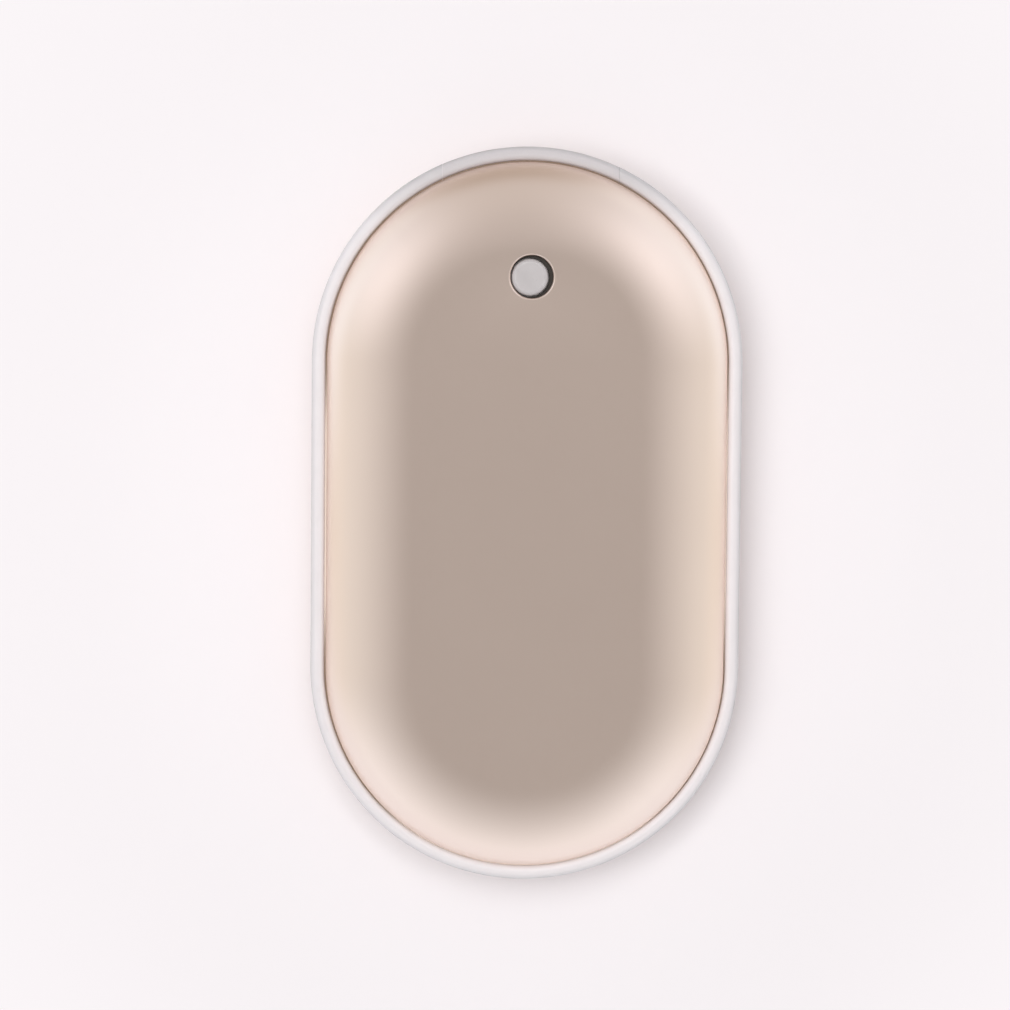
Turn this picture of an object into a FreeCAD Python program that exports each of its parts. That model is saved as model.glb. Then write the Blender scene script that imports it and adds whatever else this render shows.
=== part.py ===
import FreeCAD, Part
import os
from math import asin, cos, radians, sin, sqrt

# Pocket hand warmer: two aluminium pans on a white rim, with two cells, heating films and a control board.
# The pieces inside set the outside. Millimetres, +Z out of the front face, +Y towards the button end.
# The origin is the centre of the back face that the object lies on.

# Cells, lying side by side along Y
CELL_DIAMETER = 18.4
CELL_LENGTH = 65.2
CELL_GAP = 0.1
CELL_ROOF_CLEARANCE = 0.8
CELL_CORNER_CLEARANCE = 0.87
CELL_CRADLE_CLEARANCE = 0.1
CELL_EDGE_ROUND = 0.4
CELL_GROOVE_WIDTH = 1.2
CELL_GROOVE_DEPTH = 0.7
CELL_GROOVE_FROM_TOP = 3.6
CELL_CRIMP = 0.6
CELL_NUB_RADIUS = 2.9
CELL_NUB_HEIGHT = 0.7
INSULATOR_THICKNESS = 0.25
INSULATOR_MARGIN = 0.5
INSULATOR_HOLE_CLEARANCE = 0.4

# Shells, rim and the seam between them
COVER_WALL = 0.8
LINER_GAP = 0.5
LINER_WALL = 1.2
COVER_LIP = 0.8
RIM_BULGE = 2.1
RIM_CORNER_SHARE = 0.4
RIM_SEAM_SHARE = 0.95
RIM_WALL = 4.25
SEAM_GAP = 0.25
BORDER_RUN = 12.15
SHOULDER_TURN = 35.0
EDGE_TURN = 80.0
CUT_PAST = 1.0

# Case screws, through the back liner into the front liner
CASE_SCREW_Y = 15.0
CASE_SCREW_RADIUS = 1.0
CASE_SCREW_HEAD_RADIUS = 1.8
CASE_SCREW_HEAD = 1.4
CASE_SCREW_BITE = 4.6
SCREW_HOLE_CLEARANCE = 0.15
SCREW_HEAD_CLEARANCE = 0.2
SCREW_PILOT_CLEARANCE = 0.05
SCREW_TIP_ROOM = 0.5
POST_RADIUS = 2.7
POST_CLEARANCE = 0.35
POST_TO_RIM = 0.8
POST_FACE_GAP = 0.1
SCREW_SEAT_DEPTH = 3.4

# Cradle ribs in the back liner
RIB_COUNT = 3
RIB_FROM_END = 9.6
RIB_THICKNESS = 1.6
RIB_BELOW_RIM = 0.35
LEAD_NOTCH_HALF_WIDTH = 2.6
LEAD_NOTCH_CLEARANCE = 0.6

# Heating films
FILM_THICKNESS = 0.2
FILM_MARGIN = 1.0
FILM_BUTTON_NOTCH = 2.2
TAIL_WIDTH = 3.6
TAIL_X = 7.2
TAIL_FROM_STRIP = 0.55
TAIL_LENGTH = 5.2
TAIL_SLOT_CLEARANCE = 0.3

# Battery strips, leads and thermistor
STRIP_THICKNESS = 0.15
STRIP_HALF_HEIGHT = 2.5
STRIP_OVERHANG = 3.0
STRIP_TAB_WIDTH = 3.0
STRIP_TAB_LENGTH = 2.4
MINUS_LEAD_DIAMETER = 1.3
MINUS_LEAD_ON_BOARD = 2.0
HEATER_LEAD_DIAMETER = 0.9
HEATER_LEAD_SPACING = 1.9
HEATER_LEAD_OVERLAP = 1.0
HEATER_LEAD_STEP = 0.8
LEAD_BEND_SHARE = 0.45
THERMISTOR_DIAMETER = 1.9
THERMISTOR_LENGTH = 3.2
THERMISTOR_FROM_TOP = 16.0
THERMISTOR_CLEARANCE = 0.3
THERMISTOR_LEAD_DIAMETER = 0.5
THERMISTOR_LEAD_SPACING = 1.1
THERMISTOR_PAD_X = 5.0
THERMISTOR_PAD_FROM_REAR = 1.2
THERMISTOR_PAD_PITCH = 1.1
THERMISTOR_LEAD_DIP = 0.8
FOAM_WIDTH = 6.0
FOAM_LENGTH = 46.0
FOAM_CLEARANCE = 0.05

# Control board and what stands on it
BOARD_THICKNESS = 1.2
BOARD_GAP = 0.8
BOARD_LINER_CLEARANCE = 0.3
BOARD_SCREW_X = 14.8
BOARD_SCREW_MARGIN = 3.2
BOARD_SCREW_FROM_REAR = 3.3
BOARD_SCREW_RADIUS = 0.85
BOARD_SCREW_HEAD_RADIUS = 1.6
BOARD_SCREW_HEAD = 1.1
BOARD_SCREW_BITE = 3.0
STANDOFF_RADIUS = 2.2
SWITCH_SIDE = 4.5
SWITCH_FROM_REAR = 0.35
SWITCH_BASE_HEIGHT = 2.2
SWITCH_HEIGHT = 7.0
SWITCH_PLATE = 0.25
DOME_RADIUS = 1.65
DOME_RISE = 0.4
DOME_WALL = 0.1
DOME_CLEARANCE = 0.15
PLUNGER_FOOT_RADIUS = 1.5
PLUNGER_FOOT = 0.5
PLUNGER_RADIUS = 1.0
PLUNGER_HOLE_CLEARANCE = 0.15
PLUNGER_PLAY = 0.02
PLUNGER_TOP_GAP = 0.18
LED_SIZE = (0.9, 1.6, 0.6)
LED_FROM_SWITCH = 0.7
INDUCTOR_SIDE = 6.0
INDUCTOR_HEIGHT = 2.8
INDUCTOR_CORNER = 1.2
INDUCTOR_X = 9.5
INDUCTOR_GAP = 1.0
CHIP_SIZE = (5.0, 3.9, 1.5)
CHIP_X = 6.5
CHIP_FROM_REAR = 8.0
CAPACITOR_SIZE = (1.25, 2.0, 1.1)
CAPACITOR_COUNT = 4
CAPACITOR_PITCH = 2.6
CAPACITOR_GAP = 1.05

# Sockets and the rim's port panel
USB_A_X = -4.2
USB_A_WIDTH = 13.1
USB_A_HEIGHT = 5.7
USB_A_DEPTH = 12.0
USB_A_CORNER = 0.7
USB_A_TONGUE_SIDE_GAP = 0.7
USB_A_TONGUE = 1.84
USB_A_TONGUE_SETBACK = 1.6
USB_A_TONGUE_DROP = 0.8
USB_A_CONTACT_WIDTH = 1.0
USB_A_CONTACT = 0.15
USB_A_CONTACT_SETBACK = 1.0
USB_A_CONTACT_X = (-3.5, -1.0, 1.0, 3.5)
MICRO_USB_GAP = 1.3
MICRO_USB_WIDTH = 7.5
MICRO_USB_HEIGHT = 2.6
MICRO_USB_DEPTH = 6.0
MICRO_USB_CHAMFER = 0.9
MICRO_USB_TONGUE_WIDTH = 3.7
MICRO_USB_TONGUE = 0.6
MICRO_USB_TONGUE_SETBACK = 0.4
SOCKET_WALL = 0.3
SOCKET_BACK = 2.0
SOCKET_INSET = 0.35
SOCKET_GAP = 1.05
SOCKET_CLEARANCE = 0.2
TONGUE_CLEARANCE = 0.05
PANEL_MARGIN = 0.8
PANEL_GAP = 0.08
PANEL_SKIN = 0.4
EAR_REACH = 2.2
EAR_WALL = 0.7
EAR_GAP = 0.1
EAR_HALF_HEIGHT = 2.2
EAR_ROOT = 0.5

# Button
BUTTON_HOLE_RADIUS = 2.85
BUTTON_HOLE_CHAMFER = 0.2
BUTTON_HOLE_SHIFT_X = 0.24
BUTTON_HOLE_SHIFT_Y = 0.08
BUTTON_GAP = 0.4
BUTTON_GUIDE_CLEARANCE = 0.15
BUTTON_PROUD = 0.1
BUTTON_EDGE_ROUND = 0.5
BUTTON_TRAVEL = 0.3
BUTTON_FLANGE_RADIUS = 3.8
BUTTON_FLANGE = 1.0
BUTTON_STEM_RADIUS = 1.5
BUTTON_STOP_GAP = 0.1
COLLAR_CLEARANCE = 0.3
COLLAR_WALL = 1.0

# Sizes and places that follow from the ones above
X = FreeCAD.Vector(1, 0, 0)
Y = FreeCAD.Vector(0, 1, 0)
Z = FreeCAD.Vector(0, 0, 1)
CELL_RADIUS = CELL_DIAMETER / 2
CELL_X = CELL_RADIUS + CELL_GAP / 2
CELL_SIDE = CELL_X + CELL_RADIUS
HALF_THICKNESS = CELL_RADIUS + CELL_ROOF_CLEARANCE + LINER_WALL + LINER_GAP + COVER_WALL
THICKNESS = 2 * HALF_THICKNESS
CASE_SCREW_X = CELL_SIDE + POST_CLEARANCE + POST_RADIUS
RIM_INNER = CASE_SCREW_X + POST_RADIUS + POST_TO_RIM
RIM_OUTER = RIM_INNER + RIM_WALL
COVER_RADIUS = RIM_OUTER - RIM_BULGE
PLATEAU_RADIUS = COVER_RADIUS - BORDER_RUN
WEB_HALF_HEIGHT = USB_A_HEIGHT / 2 + SOCKET_CLEARANCE + PANEL_SKIN
RIM_HALF_HEIGHT = WEB_HALF_HEIGHT + COVER_LIP
LINER_DEPTH = COVER_WALL + LINER_GAP
LINER_ROOF = HALF_THICKNESS - LINER_DEPTH - LINER_WALL
COVER_ROOF = HALF_THICKNESS - COVER_WALL

# Along Y: cells against the far end, then the board with its switch and sockets
USB_A_OUTER_SIDE = max(abs(USB_A_X - USB_A_WIDTH / 2), abs(USB_A_X + USB_A_WIDTH / 2))
USB_A_MOUTH_REACH = sqrt(RIM_OUTER ** 2 - USB_A_OUTER_SIDE ** 2) - SOCKET_INSET
CELL_END_REACH = sqrt((RIM_INNER - CELL_CORNER_CLEARANCE) ** 2 - CELL_SIDE ** 2)
CONTENT_LENGTH = CELL_LENGTH + BOARD_GAP + SWITCH_FROM_REAR + SWITCH_SIDE + SOCKET_GAP + USB_A_DEPTH
HALF_SPINE = (CONTENT_LENGTH - USB_A_MOUTH_REACH - CELL_END_REACH) / 2
CELL_BOTTOM = -HALF_SPINE - CELL_END_REACH
CELL_TOP = CELL_BOTTOM + CELL_LENGTH
BOARD_REAR = CELL_TOP + BOARD_GAP
BOARD_HALF_WIDTH = BOARD_SCREW_X + BOARD_SCREW_MARGIN
BUTTON_Y = BOARD_REAR + SWITCH_FROM_REAR + SWITCH_SIDE / 2
USB_A_MOUTH = HALF_SPINE + USB_A_MOUTH_REACH
USB_A_TONGUE_TIP = USB_A_MOUTH - USB_A_TONGUE_SETBACK
MICRO_USB_X = USB_A_X + USB_A_WIDTH / 2 + MICRO_USB_GAP + MICRO_USB_WIDTH / 2
MICRO_USB_SIDE = MICRO_USB_X + MICRO_USB_WIDTH / 2
MICRO_USB_MOUTH = HALF_SPINE + sqrt(RIM_OUTER ** 2 - MICRO_USB_SIDE ** 2) - SOCKET_INSET
PANEL_LEFT = USB_A_X - USB_A_WIDTH / 2 - SOCKET_CLEARANCE - PANEL_MARGIN
PANEL_RIGHT = MICRO_USB_SIDE + SOCKET_CLEARANCE + PANEL_MARGIN
TAIL_Y = CELL_TOP + STRIP_THICKNESS + TAIL_FROM_STRIP

# Heights above the back face
MID = HALF_THICKNESS
BOARD_TOP = MID - USB_A_HEIGHT / 2
BOARD_UNDER = BOARD_TOP - BOARD_THICKNESS
PLUNGER_TOP = BOARD_TOP + SWITCH_HEIGHT
WELL_DEPTH = DOME_RISE + PLUNGER_PLAY + PLUNGER_FOOT + PLUNGER_TOP_GAP
WELL_RADIUS = DOME_RADIUS + DOME_CLEARANCE
WELL_FLOOR = BOARD_TOP + SWITCH_BASE_HEIGHT - WELL_DEPTH
BUTTON_RADIUS = BUTTON_HOLE_RADIUS - BUTTON_GAP
FLANGE_TOP = MID + LINER_ROOF - BUTTON_STOP_GAP
COLLAR_BOTTOM = FLANGE_TOP - BUTTON_FLANGE - BUTTON_TRAVEL - COLLAR_CLEARANCE
MINUS_LEAD_Z = BOARD_UNDER - MINUS_LEAD_DIAMETER / 2
THERMISTOR_REACH = CELL_RADIUS + THERMISTOR_CLEARANCE + THERMISTOR_DIAMETER / 2
THERMISTOR_Z = MID + sqrt(THERMISTOR_REACH ** 2 - CELL_X ** 2)

# The cover's section is a flat, a wide shoulder arc and a tighter edge arc that meet tangentially
SHOULDER = radians(SHOULDER_TURN)
EDGE = radians(EDGE_TURN)
BORDER_DROP = HALF_THICKNESS - RIM_HALF_HEIGHT
ARC_RUN = sin(EDGE) - sin(SHOULDER)
ARC_DROP = cos(SHOULDER) - cos(EDGE)
ARC_SCALE = sin(SHOULDER) * ARC_DROP - ARC_RUN * (1 - cos(SHOULDER))
SHOULDER_RADIUS = (BORDER_RUN * ARC_DROP - ARC_RUN * BORDER_DROP) / ARC_SCALE
EDGE_RADIUS = (sin(SHOULDER) * BORDER_DROP - (1 - cos(SHOULDER)) * BORDER_RUN) / ARC_SCALE
SHOULDER_CENTRE = (PLATEAU_RADIUS, MID + HALF_THICKNESS - SHOULDER_RADIUS)
EDGE_CENTRE = (SHOULDER_CENTRE[0] + (SHOULDER_RADIUS - EDGE_RADIUS) * sin(SHOULDER),
               SHOULDER_CENTRE[1] + (SHOULDER_RADIUS - EDGE_RADIUS) * cos(SHOULDER))

# The board's round edge follows the back liner's inside at the height of the board's underside
LINER_EDGE_RADIUS = EDGE_RADIUS - LINER_DEPTH - LINER_WALL
BOARD_PAST_CENTRE = (MID - BOARD_UNDER) - (EDGE_CENTRE[1] - MID)
BOARD_RADIUS = (EDGE_CENTRE[0] + sqrt(LINER_EDGE_RADIUS ** 2 - BOARD_PAST_CENTRE ** 2)
                - BOARD_LINER_CLEARANCE)


def point(x, y, z):
    return FreeCAD.Vector(x, y, z)


def line(a, b):
    return Part.LineSegment(a, b).toShape()


def arc(a, middle, b):
    return Part.Arc(a, middle, b).toShape()


def polygon_face(corners):
    return Part.Face(Part.makePolygon(corners + corners[:1]))


def block(x0, x1, y0, y1, z0, z1):
    return Part.makeBox(x1 - x0, y1 - y0, z1 - z0, point(x0, y0, z0))


def rod(radius, x, y, z0, z1):
    return Part.makeCylinder(radius, z1 - z0, point(x, y, z0), Z)


def mirrored_back(shape):
    """The same piece on the back half."""
    return shape.mirror(point(0, 0, MID), Z)


def racetrack(section):
    """Carry a section in the XZ plane, at positive X, round the case's outline."""
    at_button_end = section.translated(point(0, HALF_SPINE, 0))
    at_far_end = section.translated(point(0, -HALF_SPINE, 0))
    run = point(0, 2 * HALF_SPINE, 0)
    ends = [at_button_end.revolve(point(0, HALF_SPINE, 0), Z, 180),
            at_far_end.revolve(point(0, -HALF_SPINE, 0), -Z, 180)]
    sides = [at_far_end.extrude(run),
             at_far_end.mirror(point(0, 0, 0), X).extrude(run)]
    return ends[0].fuse(ends[1:] + sides).removeSplitter()


def on_arc(centre, radius, turn):
    return point(centre[0] + radius * sin(turn), 0, centre[1] + radius * cos(turn))


def dome_edges(depth, foot):
    """The cover's section from its middle to its foot, moved inwards by depth."""
    roof = MID + HALF_THICKNESS - depth
    shoulder = SHOULDER_RADIUS - depth
    edge = EDGE_RADIUS - depth
    crown = point(0, 0, roof)
    plateau = point(PLATEAU_RADIUS, 0, roof)
    bend = on_arc(SHOULDER_CENTRE, shoulder, SHOULDER)
    rim = on_arc(EDGE_CENTRE, edge, EDGE)
    bottom = point(rim.x, 0, foot)
    edges = [line(crown, plateau),
             arc(plateau, on_arc(SHOULDER_CENTRE, shoulder, SHOULDER / 2), bend),
             arc(bend, on_arc(EDGE_CENTRE, edge, (SHOULDER + EDGE) / 2), rim),
             line(rim, bottom)]
    return crown, bottom, edges


def dome_shell(depth, wall, foot):
    outer_crown, outer_foot, outer = dome_edges(depth, foot)
    inner_crown, inner_foot, inner = dome_edges(depth + wall, foot)
    edges = outer + [line(outer_foot, inner_foot)] + inner[::-1] + [line(inner_crown, outer_crown)]
    return racetrack(Part.Face(Part.Wire(Part.sortEdges(edges)[0])))


def dome_solid(depth, foot):
    crown, bottom, edges = dome_edges(depth, foot)
    axis_foot = point(0, 0, foot)
    edges = edges + [line(bottom, axis_foot), line(axis_foot, crown)]
    return racetrack(Part.Face(Part.Wire(Part.sortEdges(edges)[0])))


def lead(route, diameter):
    """A wire along straight runs joined by arcs as large as the runs allow."""
    edges = []
    start = route[0]
    for before, corner, after in zip(route, route[1:], route[2:]):
        inward = (before - corner).normalize()
        outward = (after - corner).normalize()
        turn = inward.getAngle(outward)
        reach = LEAD_BEND_SHARE * min((corner - before).Length, (after - corner).Length)
        first = corner + inward * reach
        last = corner + outward * reach
        bisector = (inward + outward).normalize()
        radius = reach * sin(turn / 2) / cos(turn / 2)
        middle = corner + bisector * (radius / sin(turn / 2) - radius)
        edges += [line(start, first), arc(first, middle, last)]
        start = last
    edges.append(line(start, route[-1]))
    profile = Part.Wire(Part.makeCircle(diameter / 2, route[0], route[1] - route[0]))
    return Part.Wire(edges).makePipeShell([profile], True, True)


def front_cover():
    """The front pan; its hole lies a little to one side of the button, as the photo shows."""
    shell = dome_shell(0, COVER_WALL, MID + WEB_HALF_HEIGHT)
    hole_y = BUTTON_Y + BUTTON_HOLE_SHIFT_Y
    hole = rod(BUTTON_HOLE_RADIUS, BUTTON_HOLE_SHIFT_X, hole_y, MID, MID + THICKNESS)
    rise = 2 * BUTTON_HOLE_CHAMFER
    rim = Part.makeCone(BUTTON_HOLE_RADIUS, BUTTON_HOLE_RADIUS + rise, rise,
                        point(BUTTON_HOLE_SHIFT_X, hole_y, THICKNESS - BUTTON_HOLE_CHAMFER))
    return shell.cut([hole, rim])


def back_cover():
    return mirrored_back(dome_shell(0, COVER_WALL, MID + WEB_HALF_HEIGHT))


def rim_ring():
    """The whole rim: a band with rounded corners, and a rebate on each side for a cover's lip."""
    rebate = COVER_RADIUS + SEAM_GAP
    seam_round = RIM_SEAM_SHARE * COVER_LIP
    corner_round = RIM_CORNER_SHARE * (RIM_OUTER - rebate)
    web = MID + WEB_HALF_HEIGHT
    top = MID + RIM_HALF_HEIGHT
    seam = (rebate + seam_round, top - seam_round)
    corner = (RIM_OUTER - corner_round, top - corner_round)
    inner = point(RIM_INNER, 0, web)
    step = point(rebate, 0, web)
    lip = point(rebate, 0, seam[1])
    crest = point(seam[0], 0, top)
    brow = point(corner[0], 0, top)
    flank = point(RIM_OUTER, 0, corner[1])
    upper = [line(inner, step), line(step, lip), arc(lip, on_arc(seam, seam_round, -radians(45)), crest),
             line(crest, brow), arc(brow, on_arc(corner, corner_round, radians(45)), flank)]
    edges = upper + [mirrored_back(edge) for edge in upper]
    for end in (flank, inner):
        edges.append(line(end, point(end.x, 0, THICKNESS - end.z)))
    return racetrack(Part.Face(Part.Wire(Part.sortEdges(edges)[0])))


def panel_zone(grow):
    outside = HALF_SPINE + RIM_OUTER + CUT_PAST
    return block(PANEL_LEFT - grow, PANEL_RIGHT + grow, HALF_SPINE, outside, 0, THICKNESS)


def mid_frame():
    return rim_ring().cut(panel_zone(PANEL_GAP))


def usb_a_outline(grow, y0, y1):
    body = block(USB_A_X - USB_A_WIDTH / 2 - grow, USB_A_X + USB_A_WIDTH / 2 + grow, y0, y1,
                 BOARD_TOP - grow, BOARD_TOP + USB_A_HEIGHT + grow)
    return body.makeFillet(USB_A_CORNER, [edge for edge in body.Edges if along(edge, Y)])


def micro_usb_outline(grow, y0, y1):
    half = MICRO_USB_WIDTH / 2 + grow
    low = BOARD_TOP - grow
    high = BOARD_TOP + MICRO_USB_HEIGHT + grow
    corners = [point(MICRO_USB_X - half, y0, high), point(MICRO_USB_X + half, y0, high),
               point(MICRO_USB_X + half, y0, low + MICRO_USB_CHAMFER),
               point(MICRO_USB_X + half - MICRO_USB_CHAMFER, y0, low),
               point(MICRO_USB_X - half + MICRO_USB_CHAMFER, y0, low),
               point(MICRO_USB_X - half, y0, low + MICRO_USB_CHAMFER)]
    return polygon_face(corners).extrude(point(0, y1 - y0, 0))


def along(edge, direction):
    ends = edge.Vertexes
    return len(ends) == 2 and abs((ends[1].Point - ends[0].Point).normalize().dot(direction)) > 0.999


def port_panel():
    """The stretch of rim round the sockets, with an ear at each end that grips the inside of the frame."""
    ear_outside = RIM_INNER - EAR_GAP
    low = MID - EAR_HALF_HEIGHT
    high = MID + EAR_HALF_HEIGHT
    hollow = rod(ear_outside - EAR_WALL, 0, HALF_SPINE, low, high)
    root = rod(RIM_INNER + EAR_ROOT, 0, HALF_SPINE, low, high).cut(hollow).common(panel_zone(0))
    ears = rod(ear_outside, 0, HALF_SPINE, low, high).cut(hollow).common(panel_zone(EAR_REACH))
    outside = HALF_SPINE + RIM_OUTER + CUT_PAST
    windows = [usb_a_outline(SOCKET_CLEARANCE, HALF_SPINE, outside),
               micro_usb_outline(SOCKET_CLEARANCE, HALF_SPINE, outside)]
    return rim_ring().common(panel_zone(0)).fuse([root, ears]).removeSplitter().cut(windows)


def case_screw_places():
    return [(x, y) for x in (-CASE_SCREW_X, CASE_SCREW_X) for y in (-CASE_SCREW_Y, CASE_SCREW_Y)]


def liner_shell():
    return dome_shell(LINER_DEPTH, LINER_WALL, MID + WEB_HALF_HEIGHT)


def liner_trim():
    """The space inside the liner, reaching half way into its wall."""
    return dome_solid(LINER_DEPTH + LINER_WALL / 2, MID - CUT_PAST)


def tail_slot(x):
    clear = TAIL_SLOT_CLEARANCE
    return block(x - TAIL_WIDTH / 2 - clear, x + TAIL_WIDTH / 2 + clear,
                 TAIL_Y - clear, TAIL_Y + FILM_THICKNESS + clear, MID, THICKNESS)


def front_liner():
    inside = liner_trim()
    collar_radius = BUTTON_FLANGE_RADIUS + COLLAR_CLEARANCE
    collar = rod(collar_radius + COLLAR_WALL, 0, BUTTON_Y, COLLAR_BOTTOM, THICKNESS)
    posts = [rod(POST_RADIUS, x, y, MID + POST_FACE_GAP / 2, THICKNESS) for x, y in case_screw_places()]
    added = [piece.common(inside) for piece in posts + [collar]]
    pilot = CASE_SCREW_RADIUS + SCREW_PILOT_CLEARANCE
    pilot_top = MID + CASE_SCREW_BITE + SCREW_TIP_ROOM
    cuts = [rod(pilot, x, y, MID, pilot_top) for x, y in case_screw_places()]
    cuts.append(rod(collar_radius, 0, BUTTON_Y, COLLAR_BOTTOM, MID + LINER_ROOF))
    cuts.append(rod(BUTTON_RADIUS + BUTTON_GUIDE_CLEARANCE, 0, BUTTON_Y, COLLAR_BOTTOM, THICKNESS))
    cuts.append(tail_slot(-TAIL_X))
    return liner_shell().fuse(added).cut(cuts)


def cell_spaces():
    radius = CELL_RADIUS + CELL_CRADLE_CLEARANCE
    return [Part.makeCylinder(radius, CELL_LENGTH, point(x, CELL_BOTTOM, MID), Y) for x in (-CELL_X, CELL_X)]


def cradle_ribs():
    """Cross ribs cut to the cells' round undersides, open in the middle for the lead between the cells."""
    top = MID - WEB_HALF_HEIGHT - RIB_BELOW_RIM
    first = CELL_BOTTOM + RIB_FROM_END
    spacing = (CELL_LENGTH - 2 * RIB_FROM_END) / (RIB_COUNT - 1)
    notch_floor = MINUS_LEAD_Z - MINUS_LEAD_DIAMETER / 2 - LEAD_NOTCH_CLEARANCE
    notch = block(-LEAD_NOTCH_HALF_WIDTH, LEAD_NOTCH_HALF_WIDTH, CELL_BOTTOM, CELL_TOP, notch_floor, MID)
    ribs = []
    for number in range(RIB_COUNT):
        y = first + number * spacing
        rib = block(-RIM_INNER, RIM_INNER, y - RIB_THICKNESS / 2, y + RIB_THICKNESS / 2, 0, top)
        ribs.append(rib.cut(cell_spaces() + [notch]))
    return ribs


def board_screw_places():
    y = BOARD_REAR + BOARD_SCREW_FROM_REAR
    return [(-BOARD_SCREW_X, y), (BOARD_SCREW_X, y)]


def back_liner():
    inside = mirrored_back(liner_trim())
    bosses = [rod(POST_RADIUS, x, y, 0, MID - POST_FACE_GAP / 2) for x, y in case_screw_places()]
    standoffs = [rod(STANDOFF_RADIUS, x, y, 0, BOARD_UNDER) for x, y in board_screw_places()]
    added = [piece.common(inside) for piece in bosses + standoffs + cradle_ribs()]
    shank = CASE_SCREW_RADIUS + SCREW_HOLE_CLEARANCE
    head = CASE_SCREW_HEAD_RADIUS + SCREW_HEAD_CLEARANCE
    pilot = BOARD_SCREW_RADIUS + SCREW_PILOT_CLEARANCE
    pilot_floor = BOARD_UNDER - BOARD_SCREW_BITE - SCREW_TIP_ROOM
    cuts = [rod(shank, x, y, 0, MID) for x, y in case_screw_places()]
    cuts += [rod(head, x, y, 0, MID - SCREW_SEAT_DEPTH) for x, y in case_screw_places()]
    cuts += [rod(pilot, x, y, pilot_floor, BOARD_UNDER) for x, y in board_screw_places()]
    cuts.append(mirrored_back(tail_slot(TAIL_X)))
    return mirrored_back(liner_shell()).fuse(added).cut(cuts)


def screw(radius, head_radius, head, length):
    """A self-tapping screw with a rounded head, its seat at the origin and its point down."""
    brim = head / 3
    dome = head - brim
    sphere = (head_radius ** 2 + dome ** 2) / (2 * dome)
    half_spread = asin(head_radius / sphere) / 2
    tip = point(0, 0, -length)
    neck = point(radius, 0, radius - length)
    collar = point(radius, 0, 0)
    seat = point(head_radius, 0, 0)
    edge = point(head_radius, 0, brim)
    crown = point(0, 0, head)
    edges = [line(tip, neck), line(neck, collar), line(collar, seat), line(seat, edge),
             arc(edge, on_arc((0, head - sphere), sphere, half_spread), crown), line(crown, tip)]
    return Part.Face(Part.Wire(edges)).revolve(point(0, 0, 0), Z, 360)


def case_screws():
    length = SCREW_SEAT_DEPTH + CASE_SCREW_BITE
    upside_down = screw(CASE_SCREW_RADIUS, CASE_SCREW_HEAD_RADIUS, CASE_SCREW_HEAD, length)
    upside_down.rotate(point(0, 0, 0), X, 180)
    seat = MID - SCREW_SEAT_DEPTH
    return Part.Compound([upside_down.translated(point(x, y, seat)) for x, y in case_screw_places()])


def board_screws():
    length = BOARD_THICKNESS + BOARD_SCREW_BITE
    one = screw(BOARD_SCREW_RADIUS, BOARD_SCREW_HEAD_RADIUS, BOARD_SCREW_HEAD, length)
    return Part.Compound([one.translated(point(x, y, BOARD_TOP)) for x, y in board_screw_places()])


def heater(tail_x):
    """A film on the inside of a cover's flat, with a tail folded down through the liner."""
    top = MID + COVER_ROOF
    bottom = top - FILM_THICKNESS
    radius = PLATEAU_RADIUS - FILM_MARGIN
    film = racetrack(polygon_face([point(0, 0, bottom), point(radius, 0, bottom),
                                   point(radius, 0, top), point(0, 0, top)]))
    tail = block(tail_x - TAIL_WIDTH / 2, tail_x + TAIL_WIDTH / 2,
                 TAIL_Y, TAIL_Y + FILM_THICKNESS, top - TAIL_LENGTH, top)
    return film.fuse(tail).removeSplitter()


def front_heater():
    notch = rod(BUTTON_HOLE_RADIUS + FILM_BUTTON_NOTCH, 0, BUTTON_Y, MID, THICKNESS)
    return heater(-TAIL_X).cut(notch)


def back_heater():
    return mirrored_back(heater(TAIL_X))


def heater_leads(tail_x, landing):
    """Two wires from a film's tail to the board at the landing height."""
    top = MID + COVER_ROOF - TAIL_LENGTH + HEATER_LEAD_OVERLAP
    y = TAIL_Y + FILM_THICKNESS + HEATER_LEAD_DIAMETER / 2
    drop = top - landing
    wires = []
    for x in (tail_x - HEATER_LEAD_SPACING / 2, tail_x + HEATER_LEAD_SPACING / 2):
        route = [point(x, y, top), point(x, y, top - drop / 3),
                 point(x, y + HEATER_LEAD_STEP, landing + drop / 3), point(x, y + HEATER_LEAD_STEP, landing)]
        wires.append(lead(route, HEATER_LEAD_DIAMETER))
    return Part.Compound(wires)


def front_heater_leads():
    return heater_leads(-TAIL_X, BOARD_TOP)


def back_heater_leads():
    return mirrored_back(heater_leads(TAIL_X, 2 * MID - BOARD_UNDER))


def cell(x):
    """A steel can with a rounded foot, a rolled groove near the top and a raised contact."""
    top = CELL_LENGTH - CELL_NUB_HEIGHT
    groove = top - CELL_GROOVE_FROM_TOP
    bead = groove - CELL_GROOVE_WIDTH
    foot = CELL_EDGE_ROUND
    side = CELL_RADIUS
    diagonal = 1 - sqrt(0.5)
    corners = [point(side, foot, 0), point(side, bead, 0), point(side, groove, 0),
               point(side, top - CELL_CRIMP, 0), point(side - CELL_CRIMP, top, 0),
               point(CELL_NUB_RADIUS, top, 0),
               point(CELL_NUB_RADIUS, CELL_LENGTH, 0), point(0, CELL_LENGTH, 0), point(0, 0, 0),
               point(side - foot, 0, 0)]
    edges = [line(a, b) for a, b in zip(corners, corners[1:])]
    edges[1] = arc(corners[1], point(side - CELL_GROOVE_DEPTH, (bead + groove) / 2, 0), corners[2])
    edges.append(arc(corners[-1], point(side - foot * diagonal, foot * diagonal, 0), corners[0]))
    body = Part.Face(Part.Wire(edges)).revolve(point(0, 0, 0), Y, 360)
    return body.translated(point(x, CELL_BOTTOM, MID))


def cell_left():
    return cell(-CELL_X)


def cell_right():
    return cell(CELL_X)


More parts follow.
